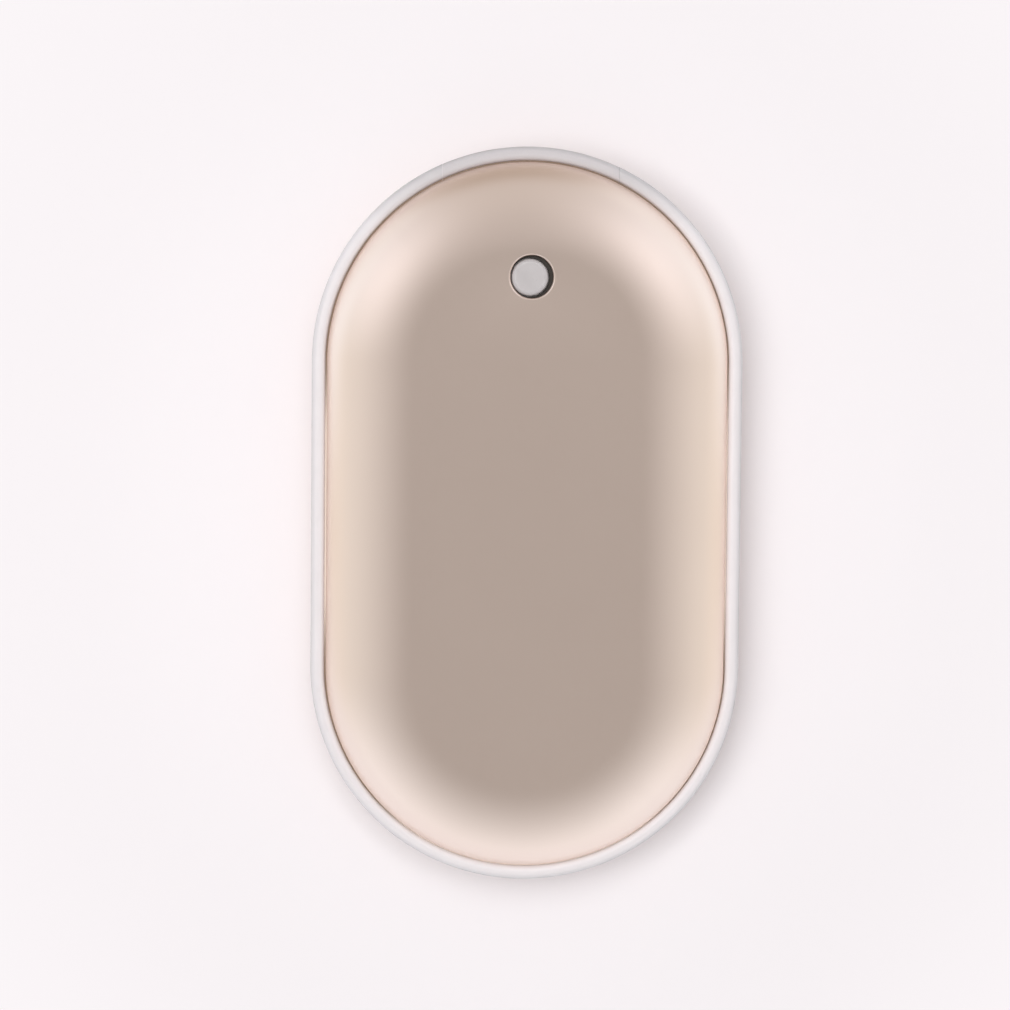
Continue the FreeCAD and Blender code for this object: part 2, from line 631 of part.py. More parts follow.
def cell_insulators():
    shoulder = CELL_TOP - CELL_NUB_HEIGHT
    outer = CELL_RADIUS - CELL_CRIMP - INSULATOR_MARGIN
    inner = CELL_NUB_RADIUS + INSULATOR_HOLE_CLEARANCE
    rings = []
    for x in (-CELL_X, CELL_X):
        seat = point(x, shoulder, MID)
        disc = Part.makeCylinder(outer, INSULATOR_THICKNESS, seat, Y)
        rings.append(disc.cut(Part.makeCylinder(inner, INSULATOR_THICKNESS, seat, Y)))
    return Part.Compound(rings)


def strip_plate(y):
    reach = CELL_X + STRIP_OVERHANG
    return block(-reach, reach, y, y + STRIP_THICKNESS, MID - STRIP_HALF_HEIGHT, MID + STRIP_HALF_HEIGHT)


def plus_strip():
    """The strip across the raised contacts, with a tab bent down and forward onto the board."""
    x0 = CELL_X - STRIP_TAB_WIDTH / 2
    x1 = CELL_X + STRIP_TAB_WIDTH / 2
    drop = block(x0, x1, CELL_TOP, CELL_TOP + STRIP_THICKNESS, BOARD_TOP, MID)
    tab = block(x0, x1, CELL_TOP, BOARD_REAR + STRIP_TAB_LENGTH, BOARD_TOP, BOARD_TOP + STRIP_THICKNESS)
    return strip_plate(CELL_TOP).fuse([drop, tab]).removeSplitter()


def minus_strip():
    y = CELL_BOTTOM - STRIP_THICKNESS
    half = STRIP_TAB_WIDTH / 2
    tab = block(-half, half, y, CELL_BOTTOM, MINUS_LEAD_Z - MINUS_LEAD_DIAMETER, MID)
    return strip_plate(y).fuse(tab).removeSplitter()


def minus_lead():
    length = BOARD_REAR + MINUS_LEAD_ON_BOARD - CELL_BOTTOM
    return Part.makeCylinder(MINUS_LEAD_DIAMETER / 2, length, point(0, CELL_BOTTOM, MINUS_LEAD_Z), Y)


def thermistor():
    start = point(0, CELL_TOP - THERMISTOR_FROM_TOP - THERMISTOR_LENGTH, THERMISTOR_Z)
    bead = Part.makeCylinder(THERMISTOR_DIAMETER / 2, THERMISTOR_LENGTH, start, Y)
    return bead.makeFillet(THERMISTOR_DIAMETER / 3, [edge for edge in bead.Edges if edge.isClosed()])


def thermistor_leads():
    """Two wires along the valley between the cells, then over their tops and down to the board."""
    height = THERMISTOR_Z
    start = CELL_TOP - THERMISTOR_FROM_TOP
    wires = []
    for number, x in enumerate((THERMISTOR_LEAD_SPACING / 2, -THERMISTOR_LEAD_SPACING / 2)):
        pad_y = BOARD_REAR + THERMISTOR_PAD_FROM_REAR + number * THERMISTOR_PAD_PITCH
        route = [point(x, start, height), point(x, CELL_TOP - BOARD_GAP, height),
                 point(THERMISTOR_PAD_X, pad_y, height - THERMISTOR_LEAD_DIP),
                 point(THERMISTOR_PAD_X, pad_y, BOARD_TOP)]
        wires.append(lead(route, THERMISTOR_LEAD_DIAMETER))
    return Part.Compound(wires)


def foam_strips():
    middle = (CELL_BOTTOM + CELL_TOP) / 2
    return Part.Compound([block(x - FOAM_WIDTH / 2, x + FOAM_WIDTH / 2,
                                middle - FOAM_LENGTH / 2, middle + FOAM_LENGTH / 2,
                                MID + CELL_RADIUS + FOAM_CLEARANCE, MID + LINER_ROOF)
                          for x in (-CELL_X, CELL_X)])


def main_board():
    """A board with a straight rear edge and a front edge that follows the rim."""
    board = rod(BOARD_RADIUS, 0, HALF_SPINE, BOARD_UNDER, BOARD_TOP)
    board = board.common(block(-BOARD_HALF_WIDTH, BOARD_HALF_WIDTH, BOARD_REAR, HALF_SPINE + RIM_INNER,
                               BOARD_UNDER, BOARD_TOP))
    hole = BOARD_SCREW_RADIUS + SCREW_HOLE_CLEARANCE
    return board.cut([rod(hole, x, y, BOARD_UNDER, BOARD_TOP) for x, y in board_screw_places()])


def switch_square(z0, z1):
    half = SWITCH_SIDE / 2
    return block(-half, half, BUTTON_Y - half, BUTTON_Y + half, z0, z1)


def switch_base():
    top = BOARD_TOP + SWITCH_BASE_HEIGHT
    return switch_square(BOARD_TOP, top).cut(rod(WELL_RADIUS, 0, BUTTON_Y, WELL_FLOOR, top))


def switch_plate():
    bottom = BOARD_TOP + SWITCH_BASE_HEIGHT
    hole = rod(PLUNGER_RADIUS + PLUNGER_HOLE_CLEARANCE, 0, BUTTON_Y, bottom, bottom + SWITCH_PLATE)
    return switch_square(bottom, bottom + SWITCH_PLATE).cut(hole)


def switch_dome():
    """A thin snap dome, part of a sphere, standing in the base's well."""
    sphere = (DOME_RADIUS ** 2 + DOME_RISE ** 2) / (2 * DOME_RISE)
    centre = point(0, BUTTON_Y, WELL_FLOOR + DOME_RISE - sphere)
    shell = Part.makeSphere(sphere, centre).cut(Part.makeSphere(sphere - DOME_WALL, centre))
    return shell.common(rod(DOME_RADIUS, 0, BUTTON_Y, WELL_FLOOR, WELL_FLOOR + 2 * DOME_RISE))


def switch_plunger():
    foot = WELL_FLOOR + DOME_RISE + PLUNGER_PLAY
    foot_disc = rod(PLUNGER_FOOT_RADIUS, 0, BUTTON_Y, foot, foot + PLUNGER_FOOT)
    return foot_disc.fuse(rod(PLUNGER_RADIUS, 0, BUTTON_Y, foot, PLUNGER_TOP)).removeSplitter()


def status_leds():
    width, length, height = LED_SIZE
    reach = SWITCH_SIDE / 2 + LED_FROM_SWITCH + width / 2
    return Part.Compound([block(x - width / 2, x + width / 2, BUTTON_Y - length / 2, BUTTON_Y + length / 2,
                                BOARD_TOP, BOARD_TOP + height) for x in (-reach, reach)])


def inductor():
    half = INDUCTOR_SIDE / 2
    y = BOARD_REAR + STRIP_TAB_LENGTH + INDUCTOR_GAP + half
    body = block(INDUCTOR_X - half, INDUCTOR_X + half, y - half, y + half,
                 BOARD_TOP, BOARD_TOP + INDUCTOR_HEIGHT)
    return body.makeChamfer(INDUCTOR_CORNER, [edge for edge in body.Edges if along(edge, Z)])


def under_board(x, y, size):
    width, length, height = size
    return block(x - width / 2, x + width / 2, y - length / 2, y + length / 2,
                 BOARD_UNDER - height, BOARD_UNDER)


def control_chips():
    y = BOARD_REAR + CHIP_FROM_REAR
    return Part.Compound([under_board(x, y, CHIP_SIZE) for x in (-CHIP_X, CHIP_X)])


def board_capacitors():
    y = BOARD_REAR + CHIP_FROM_REAR + CHIP_SIZE[1] / 2 + CAPACITOR_GAP + CAPACITOR_SIZE[1] / 2
    first = -CAPACITOR_PITCH * (CAPACITOR_COUNT - 1) / 2
    return Part.Compound([under_board(first + number * CAPACITOR_PITCH, y, CAPACITOR_SIZE)
                          for number in range(CAPACITOR_COUNT)])


def usb_a_shell():
    rear = USB_A_MOUTH - USB_A_DEPTH
    return usb_a_outline(0, rear, USB_A_MOUTH).cut(usb_a_outline(-SOCKET_WALL, rear, USB_A_MOUTH))


def usb_a_tongue_bottom():
    return BOARD_TOP + USB_A_HEIGHT - SOCKET_WALL - USB_A_TONGUE_DROP - USB_A_TONGUE


def usb_a_tongue():
    rear = USB_A_MOUTH - USB_A_DEPTH
    root = rear + SOCKET_BACK
    back = usb_a_outline(-SOCKET_WALL - TONGUE_CLEARANCE, rear, root)
    half = USB_A_WIDTH / 2 - SOCKET_WALL - USB_A_TONGUE_SIDE_GAP
    low = usb_a_tongue_bottom()
    tongue = block(USB_A_X - half, USB_A_X + half, rear, USB_A_TONGUE_TIP, low, low + USB_A_TONGUE)
    return back.fuse(tongue).removeSplitter()


def usb_a_contacts():
    root = USB_A_MOUTH - USB_A_DEPTH + SOCKET_BACK
    low = usb_a_tongue_bottom()
    half = USB_A_CONTACT_WIDTH / 2
    tip = USB_A_TONGUE_TIP - USB_A_CONTACT_SETBACK
    return Part.Compound([block(USB_A_X + x - half, USB_A_X + x + half, root, tip,
                                low - USB_A_CONTACT, low) for x in USB_A_CONTACT_X])


def micro_usb_shell():
    rear = MICRO_USB_MOUTH - MICRO_USB_DEPTH
    outside = micro_usb_outline(0, rear, MICRO_USB_MOUTH)
    return outside.cut(micro_usb_outline(-SOCKET_WALL, rear, MICRO_USB_MOUTH))


def micro_usb_tongue():
    rear = MICRO_USB_MOUTH - MICRO_USB_DEPTH
    root = rear + SOCKET_BACK
    back = micro_usb_outline(-SOCKET_WALL - TONGUE_CLEARANCE, rear, root)
    half = MICRO_USB_TONGUE_WIDTH / 2
    low = BOARD_TOP + (MICRO_USB_HEIGHT - MICRO_USB_TONGUE) / 2
    tongue = block(MICRO_USB_X - half, MICRO_USB_X + half, rear, MICRO_USB_MOUTH - MICRO_USB_TONGUE_SETBACK,
                   low, low + MICRO_USB_TONGUE)
    return back.fuse(tongue).removeSplitter()


def button():
    """A capped stem: the cap in the cover's hole, a flange under the liner and a stem down to the switch."""
    top = THICKNESS + BUTTON_PROUD
    flange_bottom = FLANGE_TOP - BUTTON_FLANGE
    cap = rod(BUTTON_RADIUS, 0, BUTTON_Y, flange_bottom, top)
    top_edge = [edge for edge in cap.Edges if edge.isClosed() and edge.CenterOfMass.z > FLANGE_TOP]
    cap = cap.makeFillet(BUTTON_EDGE_ROUND, top_edge)
    flange = rod(BUTTON_FLANGE_RADIUS, 0, BUTTON_Y, flange_bottom, FLANGE_TOP)
    stem = rod(BUTTON_STEM_RADIUS, 0, BUTTON_Y, PLUNGER_TOP + PLUNGER_PLAY, FLANGE_TOP)
    return cap.fuse([flange, stem]).removeSplitter()


PIECES = [front_cover, back_cover, mid_frame, port_panel, front_liner, back_liner, case_screws,
          front_heater, back_heater, front_heater_leads, back_heater_leads,
          cell_left, cell_right, cell_insulators, plus_strip, minus_strip, minus_lead,
          thermistor, thermistor_leads, foam_strips,
          main_board, board_screws, switch_base, switch_plate, switch_dome, switch_plunger,
          status_leds, inductor, control_chips, board_capacitors,
          usb_a_shell, usb_a_tongue, usb_a_contacts, micro_usb_shell, micro_usb_tongue, button]

os.makedirs("parts", exist_ok=True)
for piece in PIECES:
    piece().exportStep("parts/" + piece.__name__ + ".step")
case = [2 * RIM_OUTER, 2 * (HALF_SPINE + RIM_OUTER), THICKNESS]
print("case", [round(side, 2) for side in case])
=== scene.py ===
from math import acos, asin, cos, degrees, pi, radians, sin

import bmesh
import bpy
from mathutils import Matrix, Vector


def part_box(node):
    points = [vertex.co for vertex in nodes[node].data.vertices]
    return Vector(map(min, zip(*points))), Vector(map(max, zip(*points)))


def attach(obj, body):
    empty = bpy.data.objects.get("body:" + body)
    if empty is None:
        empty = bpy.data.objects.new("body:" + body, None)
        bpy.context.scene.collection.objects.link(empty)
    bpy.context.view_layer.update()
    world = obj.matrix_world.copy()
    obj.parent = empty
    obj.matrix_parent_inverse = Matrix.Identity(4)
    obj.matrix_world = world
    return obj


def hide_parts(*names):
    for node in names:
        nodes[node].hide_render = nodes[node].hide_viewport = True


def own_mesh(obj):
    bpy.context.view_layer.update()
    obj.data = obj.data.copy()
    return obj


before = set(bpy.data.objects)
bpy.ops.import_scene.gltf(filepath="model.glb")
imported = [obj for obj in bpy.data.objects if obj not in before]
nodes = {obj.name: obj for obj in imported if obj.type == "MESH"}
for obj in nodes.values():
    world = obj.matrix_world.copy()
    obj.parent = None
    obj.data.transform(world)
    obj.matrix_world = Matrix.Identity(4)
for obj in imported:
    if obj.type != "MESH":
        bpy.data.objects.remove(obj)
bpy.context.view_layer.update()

# Front and back covers: two shallow pans drawn from 0.8 mm aluminium sheet, bead blasted and anodised a pale
# champagne gold. Each is bonded over a moulded liner, and its lip stands in a rebate of the white rim.
# The front one is pierced for the button, and the edge of that hole is rolled over.
MM = 0.001
HALF_SPINE = 20.75 * MM
MIDDLE = 12.5 * MM
TOP = 25.0 * MM
COVER_WALL = 0.8 * MM
COVER_RADIUS = 27.15 * MM
FLAT_RADIUS = 15.0 * MM
FLAT_INSET = 0.2 * MM
COVER_DROP = 8.25 * MM
COVER_FOOT = 15.95 * MM
SHOULDER_TURN = radians(35)
EDGE_TURN = radians(80)
BORDER_STEPS = 64
OUTLINE_POINTS = 384
HOLE_RADIUS = 2.85 * MM
HOLE_ROUND = 0.3 * MM
HOLE_X = 0.24 * MM
HOLE_Y = 32.38 * MM
HOLE_POINTS = 128
EDGE_STEPS = 8
WELD = 0.002 * MM
CREASE = radians(30)

arc_run = sin(EDGE_TURN) - sin(SHOULDER_TURN)
arc_drop = cos(SHOULDER_TURN) - cos(EDGE_TURN)
border_run = COVER_RADIUS - FLAT_RADIUS
arc_scale = sin(SHOULDER_TURN) * arc_drop - arc_run * (1 - cos(SHOULDER_TURN))
SHOULDER_RADIUS = (border_run * arc_drop - arc_run * COVER_DROP) / arc_scale
EDGE_RADIUS = (sin(SHOULDER_TURN) * COVER_DROP - (1 - cos(SHOULDER_TURN)) * border_run) / arc_scale


def border(depth):
    """Distance out and height along the cover's border, on the surface that lies depth below the outside."""
    points = [(FLAT_RADIUS - FLAT_INSET, TOP - depth)]
    for step in range(BORDER_STEPS + 1):
        turn = EDGE_TURN * step / BORDER_STEPS
        on_shoulder = min(turn, SHOULDER_TURN)
        on_edge = max(turn, SHOULDER_TURN)
        shoulder = SHOULDER_RADIUS - depth
        edge = EDGE_RADIUS - depth
        out = FLAT_RADIUS + shoulder * sin(on_shoulder) + edge * (sin(on_edge) - sin(SHOULDER_TURN))
        down = shoulder * (1 - cos(on_shoulder)) + edge * (cos(SHOULDER_TURN) - cos(on_edge))
        points.append((out, TOP - depth - down))
    return points


def add(tree, kind, settings={}, sockets={}):
    """Add a node with its settings, and give each named socket a value, or a link from another node's socket.
    Where a node itself is given, the link comes from its first output."""
    node = tree.nodes.new(kind)
    for name, value in settings.items():
        setattr(node, name, value)
    for key, value in sockets.items():
        if isinstance(value, bpy.types.Node):
            value = value.outputs[0]
        if isinstance(value, bpy.types.NodeSocket):
            tree.links.new(value, node.inputs[key])
        else:
            node.inputs[key].default_value = value
    return node


def reckon(tree, operation, *values):
    """A sum on numbers and sockets."""
    return add(tree, "ShaderNodeMath", {"operation": operation}, dict(enumerate(values)))


def blend(tree, share, first, second):
    """A colour between two others, by a share from 0 to 1."""
    between = add(tree, "ShaderNodeMix", {"data_type": "RGBA"}, {"Factor": share, 6: first, 7: second})
    return between.outputs[2]


def speckle(tree, at, size, detail):
    """Noise with features of about that size, as a value from 0 to 1."""
    noise = add(tree, "ShaderNodeTexNoise", {}, {"Vector": at, "Scale": 1 / size, "Detail": detail})
    return noise.outputs["Fac"]


def geometry_tree(name, inputs):
    """A Geometry Nodes tree with named inputs, which come back as its input node's sockets."""
    tree = bpy.data.node_groups.new(name, "GeometryNodeTree")
    for label, kind in inputs:
        tree.interface.new_socket(label, in_out="INPUT", socket_type="NodeSocket" + kind)
    tree.interface.new_socket("Geometry", in_out="OUTPUT", socket_type="NodeSocketGeometry")
    return tree, tree.nodes.new("NodeGroupInput").outputs


def hand_out(tree, geometry, finish):
    """End a tree: make its instances real, give the whole its finish and hand it out."""
    whole = add(tree, "GeometryNodeRealizeInstances", {}, {0: geometry})
    painted = add(tree, "GeometryNodeSetMaterial", {}, {"Geometry": whole, "Material": finish})
    add(tree, "NodeGroupOutput", {}, {0: painted})


# The case's outline, drawn once: a circle whose two halves are moved apart along Y.
outline_tree, given = geometry_tree("case outline", [
    ("Half spine", "Float"), ("Radius", "Float"), ("Points", "Int")])
half_step = reckon(outline_tree, "DIVIDE", pi, given["Points"])
turned = add(outline_tree, "ShaderNodeCombineXYZ", {}, {"Z": half_step})
circle = add(outline_tree, "GeometryNodeCurvePrimitiveCircle", {},
             {"Resolution": given["Points"], "Radius": given["Radius"]})
circle = add(outline_tree, "GeometryNodeTransform", {}, {"Geometry": circle, "Rotation": turned})
place = add(outline_tree, "ShaderNodeSeparateXYZ", {}, {0: add(outline_tree, "GeometryNodeInputPosition")})
side = reckon(outline_tree, "SIGN", place.outputs["Y"])
shift = reckon(outline_tree, "MULTIPLY", side, given["Half spine"])
offset = add(outline_tree, "ShaderNodeCombineXYZ", {}, {"Y": shift})
parted = add(outline_tree, "GeometryNodeSetPosition", {}, {"Geometry": circle, "Offset": offset})
upright = add(outline_tree, "GeometryNodeSetCurveNormal", {"mode": "Z_UP"}, {"Curve": parted})
add(outline_tree, "NodeGroupOutput", {}, {0: upright})

# A pan: its border's section carried round the outline, two flats that fill the middle, and the hole.
pan_tree, given = geometry_tree("pan", [
    ("Section", "Geometry"), ("Half spine", "Float"), ("Radius", "Float"), ("Flat radius", "Float"),
    ("Points", "Int"), ("Upper flat", "Float"), ("Lower flat", "Float"), ("Pierced", "Bool"),
    ("Hole radius", "Float"), ("Hole round", "Float"), ("Hole X", "Float"), ("Hole Y", "Float"),
    ("Finish", "Material")])
outline = add(pan_tree, "GeometryNodeGroup", {"node_tree": outline_tree},
              {"Half spine": given["Half spine"], "Radius": given["Radius"], "Points": given["Points"]})
carried = add(pan_tree, "GeometryNodeCurveToMesh", {},
              {"Curve": outline, "Profile Curve": given["Section"]})
flat_outline = add(pan_tree, "GeometryNodeGroup", {"node_tree": outline_tree},
                   {"Half spine": given["Half spine"], "Radius": given["Flat radius"],
                    "Points": given["Points"]})
hole_centre = add(pan_tree, "ShaderNodeCombineXYZ", {}, {"X": given["Hole X"], "Y": given["Hole Y"]})
# The punch drew the sheet in as it went through, so the hole's wall hangs on rings down a quarter round and
# then falls straight to the sheet's inside.
rings = []
for step in range(EDGE_STEPS + 1):
    turn = pi / 2 * step / EDGE_STEPS
    out = reckon(pan_tree, "MULTIPLY_ADD", given["Hole round"], 1 - sin(turn), given["Hole radius"])
    height = reckon(pan_tree, "MULTIPLY_ADD", given["Hole round"], cos(turn) - 1, given["Upper flat"])
    rings.append((out, height))
rings.append((given["Hole radius"], given["Lower flat"]))
bottom_shift = add(pan_tree, "ShaderNodeCombineXYZ", {}, {"Z": given["Lower flat"]})
top_shift = add(pan_tree, "ShaderNodeCombineXYZ", {}, {"Z": given["Upper flat"]})
joined = add(pan_tree, "GeometryNodeJoinGeometry")
pan_tree.links.new(carried.outputs[0], joined.inputs[0])
for radius, height, looks_up in ((rings[0][0], top_shift, True), (rings[-1][0], bottom_shift, False)):
    ring = add(pan_tree, "GeometryNodeCurvePrimitiveCircle", {},
               {"Resolution": HOLE_POINTS, "Radius": radius})
    ring = add(pan_tree, "GeometryNodeTransform", {}, {"Geometry": ring, "Translation": hole_centre})
    edges = add(pan_tree, "GeometryNodeJoinGeometry")
    pan_tree.links.new(flat_outline.outputs[0], edges.inputs[0])
    pan_tree.links.new(ring.outputs[0], edges.inputs[0])
    chosen = add(pan_tree, "GeometryNodeSwitch", {"input_type": "GEOMETRY"},
                 {"Switch": given["Pierced"], "False": flat_outline, "True": edges})
    filled = add(pan_tree, "GeometryNodeFillCurve", {}, {"Curve": chosen})
    level = add(pan_tree, "GeometryNodeTransform", {}, {"Geometry": filled, "Translation": height})
    plain = add(pan_tree, "GeometryNodeSetShadeSmooth", {}, {0: level, "Shade Smooth": False})
    if looks_up:
        pan_tree.links.new(plain.outputs[0], joined.inputs[0])
    else:
        turned_over = add(pan_tree, "GeometryNodeFlipFaces", {}, {0: plain})
        pan_tree.links.new(turned_over.outputs[0], joined.inputs[0])
walls = add(pan_tree, "GeometryNodeJoinGeometry")
for (upper, upper_z), (lower, lower_z) in zip(rings, rings[1:]):
    height = reckon(pan_tree, "SUBTRACT", upper_z, lower_z)
    cone = add(pan_tree, "GeometryNodeMeshCone", {"fill_type": "NONE"},
               {"Vertices": HOLE_POINTS, "Radius Top": upper, "Radius Bottom": lower, "Depth": height})
    stand = add(pan_tree, "ShaderNodeCombineXYZ", {},
                {"X": given["Hole X"], "Y": given["Hole Y"], "Z": lower_z})
    stood = add(pan_tree, "GeometryNodeTransform", {}, {"Geometry": cone, "Translation": stand})
    pan_tree.links.new(stood.outputs[0], walls.inputs[0])
rolled = add(pan_tree, "GeometryNodeSetShadeSmooth", {}, {0: walls, "Shade Smooth": True})
pierced = add(pan_tree, "GeometryNodeSwitch", {"input_type": "GEOMETRY"},
              {"Switch": given["Pierced"], "True": rolled})
pan_tree.links.new(pierced.outputs[0], joined.inputs[0])
welded = add(pan_tree, "GeometryNodeMergeByDistance", {}, {"Geometry": joined, "Distance": WELD})
hand_out(pan_tree, welded, given["Finish"])


def in_scene(name, data):
    """An object of that name, put in the scene."""
    piece = bpy.data.objects.new(name, data)
    bpy.context.scene.collection.objects.link(piece)
    return piece


def turned_out(mesh):
    """Turn a closed mesh's faces outwards."""
    work = bmesh.new()
    work.from_mesh(mesh)
    bmesh.ops.recalc_face_normals(work, faces=work.faces)
    work.to_mesh(mesh)
    work.free()


def sectioned(section, radius):
    """A section of distances out and heights, as points for a path of that radius to carry round."""
    return [(out - radius, -height, 0) for out, height in section]


def shaped(name, points, closed, tree, values):
    """Draw points as a curve, run a tree on it and keep the result as a plain closed mesh."""
    curve = bpy.data.curves.new(name, "CURVE")
    curve.dimensions = "3D"
    spline = curve.splines.new("POLY")
    spline.points.add(len(points) - 1)
    for corner, point in zip(spline.points, points):
        corner.co = (*point, 1)
    spline.use_cyclic_u = closed
    maker = in_scene(name + "_maker", curve)
    modifier = maker.modifiers.new("shape", "NODES")
    modifier.node_group = tree
    for item in tree.interface.items_tree:
        if item.in_out == "INPUT" and item.name in values:
            modifier[item.identifier] = values[item.name]
    mesh = bpy.data.meshes.new_from_object(maker.evaluated_get(bpy.context.evaluated_depsgraph_get()))
    bpy.data.objects.remove(maker)
    bpy.data.curves.remove(curve)
    mesh.name = name
    turned_out(mesh)
    mesh.set_sharp_from_angle(angle=CREASE)
    return in_scene(name, mesh)


def colour(code):
    """A hex sRGB colour as linear RGBA."""
    parts = [int(code[start:start + 2], 16) / 255 for start in (1, 3, 5)]
    return [part / 12.92 if part <= 0.04045 else ((part + 0.055) / 1.055) ** 2.4 for part in parts] + [1.0]


def blank(name):
    """A material with an empty node tree, that tree, and the socket of the object's own coordinates in it."""
    finish = bpy.data.materials.new(name)
    finish.use_nodes = True
    tree = finish.node_tree
    tree.nodes.clear()
    return finish, tree, add(tree, "ShaderNodeTexCoord").outputs["Object"]


# Bead-blasted anodised aluminium: a satin metal that blurs what it mirrors. The blasting leaves dimples about
# 0.06 mm wide, drawn here at 0.15 mm so that they show, and the dye bath leaves broad faint clouds.
CLOUD_SIZE = 14 * MM
DIMPLE_SIZE = 0.15 * MM
DIMPLE_DEPTH = 0.003 * MM
gold, tree, at = blank("bead_blasted_champagne_anodised_aluminium")
clouds = speckle(tree, at, CLOUD_SIZE, 2.0)
dimples = speckle(tree, at, DIMPLE_SIZE, 1.0)
dye = blend(tree, clouds, colour("#F3DDCF"), colour("#F7E1D3"))
satin = add(tree, "ShaderNodeMapRange", {},
            {"Value": dimples, "From Min": 0.3, "From Max": 0.7,
             "To Min": 0.35, "To Max": 0.41})
pitted = add(tree, "ShaderNodeBump", {}, {"Height": dimples, "Distance": DIMPLE_DEPTH, "Strength": 0.6})
metal = add(tree, "ShaderNodeBsdfPrincipled", {},
            {"Base Color": dye, "Metallic": 1.0, "Roughness": satin,
             "Normal": pitted})
add(tree, "ShaderNodeOutputMaterial", {}, {"Surface": metal})

outside = border(0)
inside = border(COVER_WALL)
front_section = outside + [(outside[-1][0], COVER_FOOT), (inside[-1][0], COVER_FOOT)] + inside[::-1]
back_section = [(out, TOP - height) for out, height in front_section[::-1]]
pan_sizes = {"Half spine": HALF_SPINE, "Radius": COVER_RADIUS, "Flat radius": FLAT_RADIUS - FLAT_INSET,
             "Points": OUTLINE_POINTS, "Hole radius": HOLE_RADIUS, "Hole round": HOLE_ROUND,
             "Hole X": HOLE_X, "Hole Y": HOLE_Y, "Finish": gold}
for node, section, upper, lower, has_hole in (
        ("front_cover", front_section, TOP, TOP - COVER_WALL, True),
        ("back_cover", back_section, COVER_WALL, 0.0, False)):
    pan = shaped(node + "_pan", sectioned(section, COVER_RADIUS), False, pan_tree,
                 {**pan_sizes, "Upper flat": upper, "Lower flat": lower, "Pierced": has_hole})
    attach(pan, "housing")
    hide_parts(node)

# Mid frame and port panel: one injection-moulded rim of glossy white ABS that the covers close on, a band
# with rounded corners, rebated for their lips. Its stretch round the two sockets is a separate grey moulding
# that clips in from outside, with an ear at each end behind the frame. Its grey is partly its own and partly
# painted shade.
RIM_OUTER = 29.25 * MM
RIM_INNER = 25.0 * MM
RIM_HALF = 4.25 * MM
WEB_HALF = 3.45 * MM
REBATE = 27.4 * MM
SEAM_ROUND = 0.76 * MM
SEAM_STEPS = 10
CORNER_SHARE = 0.4
CORNER_ROUND = CORNER_SHARE * (RIM_OUTER - REBATE)
CORNER_STEPS = 18
PANEL_LEFT = -11.75 * MM
PANEL_RIGHT = 12.15 * MM
PANEL_GAP = 0.03 * MM
EAR_REACH = 2.2 * MM
EAR_OUTER = 24.9 * MM
EAR_INNER = 24.2 * MM
EAR_ROOT = 25.5 * MM
EAR_HALF = 2.2 * MM
CUT_END = HALF_SPINE + 1.2 * RIM_OUTER
TOUCHING = 0.001 * MM


def arc_points(centre, radius, start, end, steps):
    """Points along an arc of a section, by the angle from straight up, both ends included."""
    turns = [radians(start + (end - start) * step / steps) for step in range(steps + 1)]
    return [(centre[0] + radius * sin(turn), centre[1] + radius * cos(turn)) for turn in turns]


rim_tree, given = geometry_tree("rim round the case outline", [
    ("Section", "Geometry"), ("Half spine", "Float"), ("Radius", "Float"), ("Points", "Int"),
    ("Finish", "Material")])
outline = add(rim_tree, "GeometryNodeGroup", {"node_tree": outline_tree},
              {"Half spine": given["Half spine"], "Radius": given["Radius"], "Points": given["Points"]})
carried = add(rim_tree, "GeometryNodeCurveToMesh", {},
              {"Curve": outline, "Profile Curve": given["Section"]})
hand_out(rim_tree, carried, given["Finish"])

rim_top = MIDDLE + RIM_HALF
upper_half = arc_points((REBATE + SEAM_ROUND, rim_top - SEAM_ROUND), SEAM_ROUND, -90, 0, SEAM_STEPS)
upper_half += arc_points((RIM_OUTER - CORNER_ROUND, rim_top - CORNER_ROUND), CORNER_ROUND, 0, 90,
                         CORNER_STEPS)
rim_section = upper_half + [(out, TOP - height) for out, height in upper_half[::-1]]
rim_section += [(REBATE, MIDDLE - WEB_HALF), (RIM_INNER, MIDDLE - WEB_HALF),
                (RIM_INNER, MIDDLE + WEB_HALF), (REBATE, MIDDLE + WEB_HALF)]


def prism(outline, low, high):
    """A cutter: an outline of X and Z drawn out along Y."""
    mesh = bpy.data.meshes.new("cutter")
    count = len(outline)
    corners = [(x, y, z) for y in (low, high) for x, z in outline]
    faces = [list(range(count)), list(range(2 * count - 1, count - 1, -1))]
    faces += [[k, k + count, (k + 1) % count + count, (k + 1) % count] for k in range(count)]
    mesh.from_pydata(corners, [], faces)
    turned_out(mesh)
    return in_scene("cutter", mesh)


def welded_smooth(mesh, crease):
    """Join a mesh's loose corners and shade it round, apart from edges that turn by more than the crease."""
    work = bmesh.new()
    work.from_mesh(mesh)
    bmesh.ops.remove_doubles(work, verts=work.verts, dist=TOUCHING)
    work.to_mesh(mesh)
    work.free()
    mesh.shade_smooth()
    mesh.set_sharp_from_angle(angle=crease)


def worked(piece, steps):
    """Cut, keep or join other solids in turn, and leave the piece as a plain mesh."""
    for operation, other in steps:
        modifier = piece.modifiers.new(operation, "BOOLEAN")
        modifier.operation = operation
        modifier.solver = "EXACT"
        modifier.object = other
    mesh = bpy.data.meshes.new_from_object(piece.evaluated_get(bpy.context.evaluated_depsgraph_get()))
    piece.modifiers.clear()
    mesh.name = piece.name
    welded_smooth(mesh, CREASE)
    piece.data = mesh
    for _, other in steps:
        bpy.data.objects.remove(other)
    return piece


def zone(grow):
    """A block over the panel's stretch of the rim, wider by grow at each end."""
    left = PANEL_LEFT - grow
    right = PANEL_RIGHT + grow
    return prism([(left, 0), (right, 0), (right, TOP), (left, TOP)], HALF_SPINE, CUT_END)
